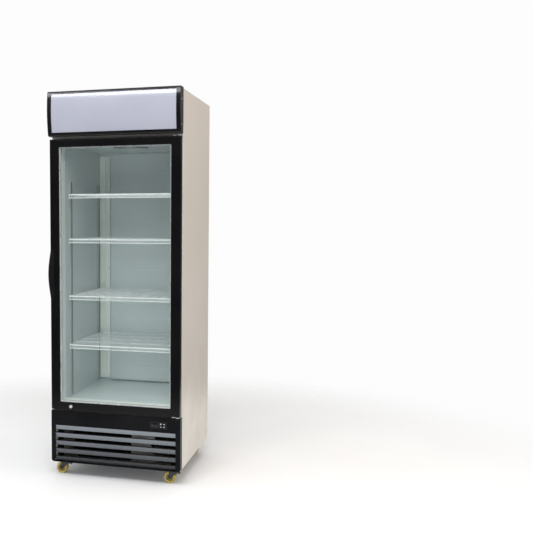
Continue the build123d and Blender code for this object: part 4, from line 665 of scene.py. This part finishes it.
def frame_black():
    """Satin black paint over extrusion, with draw lines along each rail and finger haze."""
    finish, place = new_finish("frame_black")
    outside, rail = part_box("door_frame")[1].x, 50 * MM
    across, _, _ = place.axes()
    stile = abs(across).rise(outside - rail - 1 * MM, outside - rail)
    upright = place.noise(420.0, 2.0, (1.0, 1.0, 0.004))
    level = place.noise(420.0, 2.0, (0.004, 1.0, 1.0))
    drawn = stile * upright + (1 - stile) * level
    haze = place.noise(14.0, 5.0)
    tone = place.noise(3.0, 2.0).rise(0.3, 0.7)
    colour = tone.mix((0.0025, 0.0025, 0.003, 1), (0.0045, 0.0043, 0.0045, 1))
    surface(place, colour, haze * 0.14 + 0.08, drawn * 0.12 + place.noise(10.0, 1.0) * 1.2,
            specular_ior_level=0.2)
    return finish


def pane_glass():
    """Clear float glass: light goes through with a faint green, and the outer faces mirror by Fresnel."""
    finish, place = new_finish("pane_glass")
    film = place.noise(5.0, 5.0, (1.0, 1.0, 0.4))
    wave = place.noise(3.5, 1.0)
    normal = place.node("ShaderNodeBump", None, {"Height": wave, "Distance": 0.12 * MM})
    tint = film.rise(0.3, 0.7).mix((0.925, 0.955, 0.94, 1), (0.945, 0.97, 0.955, 1))
    clear = place.node("ShaderNodeBsdfTransparent", None, {"Color": (0.985, 0.992, 0.988, 1)})
    polish = {"Base Color": tint, "Roughness": film * 0.05 + 0.01, "Metallic": 1.0, "Normal": normal}
    mirror = place.node("ShaderNodeBsdfPrincipled", None, polish)
    gloss = place.node("ShaderNodeFresnel", None, {"IOR": 1.5, "Normal": normal})
    entering = 1 - place.node("ShaderNodeNewGeometry", out="Backfacing")
    share = (gloss * 1.6 + film.rise(0.5, 0.8) * 0.008) * entering
    both = place.node("ShaderNodeMixShader", None, {0: share, 1: clear, 2: mirror})
    place.node("ShaderNodeOutputMaterial", None, {"Surface": both})
    return finish


def spacer_bar():
    """Bright rolled aluminium spacer with its two rows of breather slits."""
    finish, place = new_finish("spacer_bar")
    drawn = place.noise(600.0, 2.0, (0.02, 1.0, 0.02))
    tone = place.noise(20.0, 2.0).rise(0.3, 0.7)
    colour = tone.mix((0.84, 0.86, 0.86, 1), (0.92, 0.93, 0.93, 1))
    surface(place, colour, drawn * 0.2 + 0.18, drawn * 0.2, metallic=0.55)
    return finish


def soft_rubber(name, shade, bloom_shade):
    """Matt rubber with a pale bloom."""
    finish, place = new_finish(name)
    bloom = place.noise(25.0, 5.0).rise(0.4, 0.8)
    grain = place.noise(900.0, 2.0)
    surface(place, (bloom * 0.5).mix(shade, bloom_shade), 0.55 + bloom * 0.2, grain * 0.3)
    return finish


def bellows_gasket(finish):
    """The gasket's hollow section, mitred round the door: a push-in foot, two folds and a magnet face."""
    low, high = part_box("door_gasket")
    section = [(2.5, 0.0), (11.5, 0.0), (12.6, 0.8), (12.2, 1.9), (10.8, 2.4), (10.2, 3.2), (11.2, 4.0),
               (13.2, 4.6), (13.9, 5.6), (13.2, 6.6), (12.9, 7.2), (13.7, 7.8), (13.8, 8.9), (12.8, 9.5),
               (1.2, 9.5), (0.2, 8.9), (0.3, 7.8), (1.1, 7.2), (0.8, 6.6), (0.1, 5.6), (0.8, 4.6), (2.8, 4.0),
               (3.8, 3.2), (3.2, 2.4), (1.8, 1.9), (1.4, 0.8)]
    bm = bmesh.new()
    rings = []
    for right, up in ((-1, -1), (1, -1), (1, 1), (-1, 1)):
        corner = []
        for inset, out in section:
            x = right * (high.x - inset * MM)
            z = low.z + inset * MM if up < 0 else high.z - inset * MM
            corner.append(bm.verts.new((x, low.y + out * MM, z)))
        rings.append(corner)
    skin(bm, rings, joined=True)
    mesh = as_mesh("magnetic_gasket", bm)
    fit("magnetic_gasket", mesh, finish, "door", "gasket_black", "door_gasket", crease=60.0)


dress(frame_black(), "door_frame")
dress(pane_glass(), "door_glass")
dress(spacer_bar(), "glass_spacer")
bellows_gasket(soft_rubber("gasket_rubber", (0.018, 0.018, 0.02, 1), (0.05, 0.05, 0.055, 1)))
grip_black = moulded("grip_black", (0.003, 0.003, 0.0035, 1), (0.005, 0.005, 0.0055, 1),
                     gloss=0.1, grain=0.03, scuffs=0.1)
dress(grip_black, "door_handle")


# ---------------------------------------------------------------- hinges and lock
# Zinc-plated brackets carry a pin each, which turns in a nylon bush in the door. A chromed cam lock
# sits in the bottom rail.

def white_nylon(name, low, high):
    """Natural nylon, waxy and slightly yellowed."""
    finish, place = new_finish(name)
    age = place.noise(40.0, 3.0).rise(0.3, 0.7)
    relief = place.noise(700.0, 1.0) * 0.1
    surface(place, age.mix(low, high), age * 0.1 + 0.35, relief, subsurface_weight=0.1)
    return finish


def lock_chrome():
    """Bright chrome with key scratches round the slot."""
    finish, place = new_finish("lock_chrome")
    scratch = place.noise(800.0, 3.0, (1.0, 1.0, 0.2)).rise(0.55, 0.75)
    tone = place.noise(120.0, 2.0).rise(0.3, 0.7)
    colour = tone.mix((0.72, 0.73, 0.74, 1), (0.84, 0.85, 0.86, 1))
    surface(place, colour, scratch * 0.25 + 0.08, scratch * -0.1, metallic=1.0)
    return finish


dress(bright_zinc, "hinge_brackets")
dress(white_nylon("bush_nylon", (0.72, 0.71, 0.66, 1), (0.8, 0.79, 0.75, 1)), "hinge_bushes")
dress(lock_chrome(), "lock_cylinder")


# ---------------------------------------------------------------- machine bay
# A galvanised tray under the cabinet carries the compressor, the finned condenser and its shroud, the
# copper lines, the condensate tray and the control box. A slotted guard with the mains inlet closes it.

def galvanised_sheet():
    """Hot-dipped sheet with spangle."""
    finish, place = new_finish("galvanised_sheet")
    spangle = place.node("ShaderNodeTexVoronoi", None, {"Vector": place, "Scale": 90.0}, out="Color")
    flake = spangle.axes()[0]
    stain = place.noise(8.0, 5.0).rise(0.45, 0.75)
    grey = flake.mix((0.4, 0.41, 0.42, 1), (0.58, 0.59, 0.6, 1))
    colour = (stain * 0.3).mix(grey, (0.35, 0.34, 0.32, 1))
    surface(place, colour, flake * 0.2 + 0.3 + stain * 0.15, flake * 0.05, metallic=0.9)
    return finish


def shell_enamel():
    """Black compressor enamel with dust settled on its upward faces."""
    finish, place = new_finish("shell_enamel")
    facing = place.node("ShaderNodeNewGeometry", out="Normal").axes()[2].rise(0.3, 1.0)
    settled = place.noise(30.0, 5.0).rise(0.3, 0.8) * facing
    peel = place.noise(200.0, 2.0)
    colour = (settled * 0.6).mix((0.006, 0.006, 0.007, 1), (0.1, 0.09, 0.075, 1))
    surface(place, colour, settled * 0.5 + 0.18, peel * 0.5)
    return finish


def drawn_copper():
    """Copper tube with brown heat stain and bright drawn patches."""
    finish, place = new_finish("drawn_copper")
    stain = place.noise(22.0, 4.0).rise(0.35, 0.7)
    colour = stain.mix((0.72, 0.36, 0.2, 1), (0.3, 0.14, 0.09, 1))
    surface(place, colour, stain * 0.25 + 0.2, place.noise(500.0, 1.0) * 0.1, metallic=1.0)
    return finish


galvanised = galvanised_sheet()
dress(galvanised, "machine_base", "rear_guard", "caster_plates")
dress(shell_enamel(), "compressor")
dress(drawn_copper(), "refrigerant_lines")
for name, low, high, gloss, piece in (
        ("tray_plastic", (0.05, 0.05, 0.055, 1), (0.065, 0.065, 0.07, 1), 0.45, "drip_tray"),
        ("box_plastic", (0.02, 0.02, 0.022, 1), (0.03, 0.03, 0.032, 1), 0.4, "control_box"),
        ("inlet_black", (0.012, 0.012, 0.013, 1), (0.02, 0.02, 0.021, 1), 0.4, "power_inlet")):
    dress(moulded(name, low, high, gloss, grain=0.2), piece)


# ---------------------------------------------------------------- casters
# Twin-tread swivel casters: a stamped black fork on a ball race, and a wheel with a nylon core and two
# cast urethane treads in brass yellow. The front pair has a foot brake.

def cast_urethane():
    """Brass-yellow urethane, scuffed grey on the running face."""
    finish, place = new_finish("cast_urethane")
    grime = place.noise(110.0, 5.0).rise(0.42, 0.75)
    tone = place.noise(30.0, 3.0).rise(0.3, 0.7)
    yellow = tone.mix((0.4, 0.3, 0.05, 1), (0.5, 0.39, 0.09, 1))
    surface(place, (grime * 0.4).mix(yellow, (0.16, 0.13, 0.07, 1)), grime * 0.2 + 0.22, grime * -0.6)
    return finish


def turn_outline(bm, outline, centre, steps):
    """Turns a closed outline of (radius, along) about the axle."""
    rings = []
    for n in range(steps):
        turn = 2 * math.pi * n / steps
        ring = []
        for radius, along in outline:
            arm = Vector((radius * math.cos(turn), along, radius * math.sin(turn)))
            ring.append(bm.verts.new(centre + arm))
        rings.append(ring)
    skin(bm, rings, joined=True)


def tread_outline(radius, rim, inner, outer, round_off):
    """Half section of one tread, with both edges of its running face rounded."""
    side = math.copysign(1.0, outer)
    outline = [(rim, inner)]
    for n in range(5):
        turn = math.radians(90 * n / 4)
        outline.append((radius - round_off + round_off * math.sin(turn),
                        inner + side * round_off * (1 - math.cos(turn))))
    for n in range(5):
        turn = math.radians(90 * n / 4)
        outline.append((radius - round_off + round_off * math.cos(turn),
                        outer - side * round_off * (1 - math.sin(turn))))
    return outline + [(rim + 1 * MM, outer), (rim, outer - side * 0.6 * MM)]


def core_outline(bore, boss, web, rim_in, rim, half):
    """Half section of the core: its bored boss, thin web and rim."""
    draft = 0.8 * MM
    near = [(bore, -half), (boss, -half), (boss + draft, -web), (rim_in - draft, -web),
            (rim_in, -half + 1 * MM), (rim - 0.5 * MM, -half + 0.6 * MM)]
    return near + [(rim - 0.3 * MM, 0.0)] + [(radius, -along) for radius, along in reversed(near)]


def caster_wheel(spot, tread_finish, core_finish):
    """The two treads, and the core with its ribs, on one axle."""
    node = f"caster_wheel_{spot}"
    low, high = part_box(node)
    centre = (low + high) / 2
    radius = (high.z - low.z) / 2
    half = (high.y - low.y) / 2
    tread, round_off, width = 7.0 * MM, 4.5 * MM, 14.0 * MM
    bore, boss, web, rib = 4.1 * MM, 8.0 * MM, 3.0 * MM, 2.2 * MM
    rim = radius - tread
    rim_in = rim - 4.0 * MM
    bm = bmesh.new()
    for side in (-1, 1):
        outline = tread_outline(radius, rim, side * (half - width), side * half, round_off)
        turn_outline(bm, outline, centre, 48)
    mesh = as_mesh(f"treads_{spot}", bm)
    fit(f"treads_{spot}", mesh, tread_finish, f"wheel_{spot}", "tread_yellow", node)
    bm = bmesh.new()
    turn_outline(bm, core_outline(bore, boss, web, rim_in, rim, half), centre, 36)
    length = rim_in - boss + 1 * MM
    depth = half - web - 3 * MM
    for side in (-1, 1):
        middle = ((boss + rim_in) / 2, side * (web + depth / 2 - 0.2 * MM), 0)
        for n in range(6):
            made = bmesh.ops.create_cube(bm, size=1.0)
            place = (Matrix.Translation(centre) @ Matrix.Rotation(math.radians(60 * n), 4, "Y")
                     @ Matrix.Translation(middle) @ Matrix.Diagonal((length, depth, rib, 1)))
            bmesh.ops.transform(bm, matrix=place, verts=made["verts"])
    mesh = as_mesh(f"core_{spot}", bm)
    fit(f"core_{spot}", mesh, core_finish, f"wheel_{spot}", "tread_yellow")


tread_finish = cast_urethane()
core_finish = white_nylon("core_nylon", (0.4, 0.31, 0.09, 1), (0.5, 0.4, 0.13, 1))
for spot in ("fl", "fr", "rl", "rr"):
    caster_wheel(spot, tread_finish, core_finish)
fork_black = moulded("fork_black", (0.016, 0.016, 0.017, 1), (0.026, 0.026, 0.027, 1),
                     gloss=0.26, grain=0.2, scuffs=0.6)
for spot in ("fl", "fr", "rl", "rr"):
    dress(fork_black, f"caster_fork_{spot}")
dress(fork_black, "caster_brake_fl", "caster_brake_fr")


# ---------------------------------------------------------------- screws and bolts
# Pan-head screws with a cross recess hold the caps, hinges, side panels and rear guard. Each caster is
# held by four hexagon bolts.

def islands(name):
    """Middle and size of every separate solid in a CAD node."""
    mesh = nodes[name].data
    home = {}
    for vertex in mesh.vertices:
        home.setdefault(tuple(round(c * 1e5) for c in vertex.co), []).append(vertex.index)
    root = list(range(len(mesh.vertices)))

    def top(n):
        while root[n] != n:
            root[n] = root[root[n]]
            n = root[n]
        return n

    for group in home.values():
        for n in group[1:]:
            root[top(n)] = top(group[0])
    for polygon in mesh.polygons:
        for n in polygon.vertices[1:]:
            root[top(n)] = top(polygon.vertices[0])
    groups = {}
    for vertex in mesh.vertices:
        groups.setdefault(top(vertex.index), []).append(vertex.co)
    found = []
    for points in groups.values():
        low = Vector(map(min, zip(*points)))
        high = Vector(map(max, zip(*points)))
        found.append(((low + high) / 2, high - low))
    return sorted(found, key=lambda item: tuple(item[0]))


def add_ring(bm, radius, height, steps=32):
    """A level ring of points about the upright axis."""
    turns = [2 * math.pi * n / steps for n in range(steps)]
    return [bm.verts.new((radius * math.cos(turn), radius * math.sin(turn), height)) for turn in turns]


def screw_head():
    """A pan head of radius 1 and height 1 with a cross recess, standing on the origin."""
    bm = bmesh.new()
    dome = ((1.0, 0.0), (1.0, 0.35), (0.93, 0.62), (0.78, 0.84), (0.58, 0.96))
    rings = [add_ring(bm, radius, height) for radius, height in dome]
    skin(bm, rings)
    bm.faces.new(rings[0])
    narrow, reach, taper, deep = 0.1, 0.48, 0.6, 0.35
    cross = []
    for quarter in range(4):
        turn = Matrix.Rotation(math.radians(90 * quarter), 2)
        for corner in ((reach, -narrow), (reach, narrow), (narrow, narrow)):
            cross.append(turn @ Vector(corner))
    lip = [bm.verts.new((*point, 1.0)) for point in cross]
    pit = [bm.verts.new((*(point * taper), deep)) for point in cross]
    skin(bm, [lip, pit])
    bm.faces.new(pit)
    edges = []
    for ring in (rings[-1], lip):
        edges += [bm.edges.get((ring[n - 1], ring[n])) for n in range(len(ring))]
    bmesh.ops.triangle_fill(bm, edges=edges, use_beauty=True)
    return as_mesh("screw_head", bm)


def hex_bolt():
    """A hexagon head with a washer face, radius 1 and height 1, hanging below the origin."""
    bm = bmesh.new()
    washer, chamfer = ((1.0, 0.0), (1.0, -0.12)), (0.8, -1.0)
    rings = [add_ring(bm, radius, height, 24) for radius, height in washer]
    for height in (-0.14, -0.85):
        ring = add_ring(bm, 0.94, height, 24)
        for point in ring:
            turn = math.atan2(point.co.y, point.co.x)
            flat = (turn + math.pi / 6) % (math.pi / 3) - math.pi / 6
            point.co.xy *= math.cos(math.pi / 6) / math.cos(flat)
        rings.append(ring)
    rings.append(add_ring(bm, *chamfer, 24))
    skin(bm, rings)
    bm.faces.new(rings[0])
    bm.faces.new(rings[-1])
    return as_mesh("hex_bolt", bm)


def stand(bm, mesh, place):
    """Adds a copy of a mesh at a place."""
    start = len(bm.verts)
    bm.from_mesh(mesh)
    bm.verts.ensure_lookup_table()
    bmesh.ops.transform(bm, matrix=place, verts=bm.verts[start:])


def add_thread(bm, neck, top):
    """A threaded shank of 6 mm from the neck of a bolt up to a height."""
    crest, root, half_pitch = 3.0 * MM, 2.65 * MM, 0.5 * MM
    rings = []
    for n in range(2 * int((top - neck.z) / (2 * half_pitch)) + 1):
        ring = add_ring(bm, root if n % 2 else crest, neck.z + n * half_pitch, 16)
        for point in ring:
            point.co.xy += neck.xy
        rings.append(ring)
    skin(bm, rings)
    bm.faces.new(rings[0])
    bm.faces.new(rings[-1])


def all_screws(finish):
    """Every screw and bolt in the place of its CAD solid."""
    head = screw_head()
    bolt = hex_bolt()
    bolt_head = 4.0 * MM
    shell_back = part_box("side_panels")[1].y
    bm = bmesh.new()
    for middle, size in islands("fasteners"):
        if size.z > 3 * bolt_head and size.z > size.x:
            radius = min(size.x, size.y) / 2
            neck = Vector((middle.x, middle.y, middle.z - size.z / 2 + bolt_head))
            place = Matrix.Translation(neck)
            stand(bm, bolt, place @ Matrix.Diagonal((radius, radius, bolt_head, 1)))
            add_thread(bm, neck, middle.z + size.z / 2)
            continue
        axis = min(range(3), key=lambda n: size[n])
        faces_front = axis == 1 and middle.y < shell_back
        direction = Vector((0, 0, 0))
        direction[axis] = -1.0 if faces_front else math.copysign(1.0, middle[axis])
        radius = max(size) / 2
        place = (Matrix.Translation(middle - direction * size[axis] / 2)
                 @ direction.to_track_quat("Z", "Y").to_matrix().to_4x4())
        stand(bm, head, place @ Matrix.Diagonal((radius, radius, size[axis], 1)))
    fit("screws_and_bolts", as_mesh("screws_and_bolts", bm), finish, "cabinet", "zinc_plate", "fasteners")
    bpy.data.meshes.remove(head)
    bpy.data.meshes.remove(bolt)


all_screws(bright_zinc)


# ---------------------------------------------------------------- floor, light and camera
# The cabinet stands on a plain pale floor in a pale room. Cool panels light it from high, low and left, a
# warm one from the right, and the sign face mirrors a thin bright strip.

def pale_floor():
    """Plain pale floor, a little uneven in its sheen, that fades into the white room round it."""
    finish, place = new_finish("pale_floor")
    cloud = place.noise(0.8, 3.0).rise(0.3, 0.7)
    far = place.node("ShaderNodeVectorMath", {"operation": "LENGTH"}, {0: place}, out="Value")
    colour = cloud.mix((0.7, 0.7, 0.7, 1), (0.73, 0.73, 0.73, 1))
    surface(place, colour, cloud * 0.1 + 0.6, alpha=1 - far.rise(1.3, 2.9))
    reach, steps = 3.0, 64
    turns = [2 * math.pi * n / steps for n in range(steps)]
    rim = [(reach * math.cos(turn), reach * math.sin(turn), 0) for turn in turns]
    mesh = bpy.data.meshes.new("floor")
    mesh.from_pydata(rim, [], [tuple(range(steps))])
    mesh.materials.append(finish)
    floor = bpy.data.objects.new("floor", mesh)
    bpy.context.scene.collection.objects.link(floor)


def panel_light(name, place, aim, size, power, colour, mirrored=True):
    """A soft rectangular light that faces a point; one that isn't mirrored stays out of reflections."""
    data = bpy.data.lights.new(name, "AREA")
    data.shape = "RECTANGLE"
    data.size, data.size_y = size
    data.energy = power
    data.color = colour
    lamp = bpy.data.objects.new(name, data)
    lamp.location = place
    lamp.visible_glossy = mirrored
    lamp.rotation_euler = (Vector(aim) - Vector(place)).to_track_quat("-Z", "Y").to_euler()
    bpy.context.scene.collection.objects.link(lamp)


def pale_room():
    """Light that falls from above and dims towards the horizon; behind the cabinet is plain white."""
    world = bpy.data.worlds.new("room")
    bpy.context.scene.world = world
    world.use_nodes = True
    world.node_tree.nodes.clear()
    start = Flow(world.node_tree, None)
    seen = start.node("ShaderNodeLightPath", out="Is Camera Ray")
    rising = start.node("ShaderNodeTexCoord", out="Generated").axes()[2].rise(0.0, 0.75)
    sky = rising.mix((0.13, 0.135, 0.145, 1), (1.0, 1.0, 1.0, 1))
    light = start.node("ShaderNodeBackground", None, {"Color": sky, "Strength": 1.0})
    behind = start.node("ShaderNodeBackground", None, {"Color": (1.0, 1.0, 1.0, 1), "Strength": 0.98})
    both = start.node("ShaderNodeMixShader", None, {0: seen, 1: light, 2: behind})
    start.node("ShaderNodeOutputWorld", None, {"Surface": both})


def studio_camera():
    """A lens of 54.8 mm, 4.45 m from the cabinet, a little to its right and above its middle."""
    aim, distance = Vector((0.0, 0.005, 1.0)), 4.454
    yaw, pitch = math.radians(16.8), math.radians(4.39)
    back = Vector((math.sin(yaw) * math.cos(pitch), -math.cos(yaw) * math.cos(pitch), math.sin(pitch)))
    data = bpy.data.cameras.new("camera")
    data.lens = 54.8
    data.sensor_width = 36.0
    data.shift_x = 0.25
    data.shift_y = 0.0345
    camera = bpy.data.objects.new("camera", data)
    camera.location = aim + back * distance
    camera.rotation_euler = (-back).to_track_quat("-Z", "Y").to_euler()
    bpy.context.scene.collection.objects.link(camera)
    bpy.context.scene.camera = camera


pale_floor()
pale_room()
panel_light("sign_strip", (-0.5, -3.0, 3.14), (0.0, -0.3, 1.95), (3.6, 0.19), 20.0, (0.97, 0.98, 1.0))
panel_light("high_fill", (0.3, -3.6, 4.5), (0.0, 0.2, 0.8), (3.6, 1.6), 180.0, (0.96, 0.98, 1.0), False)
panel_light("low_fill", (0.6, -3.6, 0.5), (0.0, 0.0, 0.5), (2.8, 0.7), 36.0, (0.98, 0.98, 1.0), False)
panel_light("warm_panel", (3.4, -0.2, 2.9), (0.3, 0.0, 1.9), (2.4, 1.6), 48.0, (1.0, 0.82, 0.64))
panel_light("left_panel", (-3.6, -2.0, 2.2), (0.0, 0.0, 1.0), (1.2, 2.6), 24.0, (0.97, 0.97, 1.0), False)
studio_camera()
bpy.context.scene.view_settings.view_transform = "Standard"
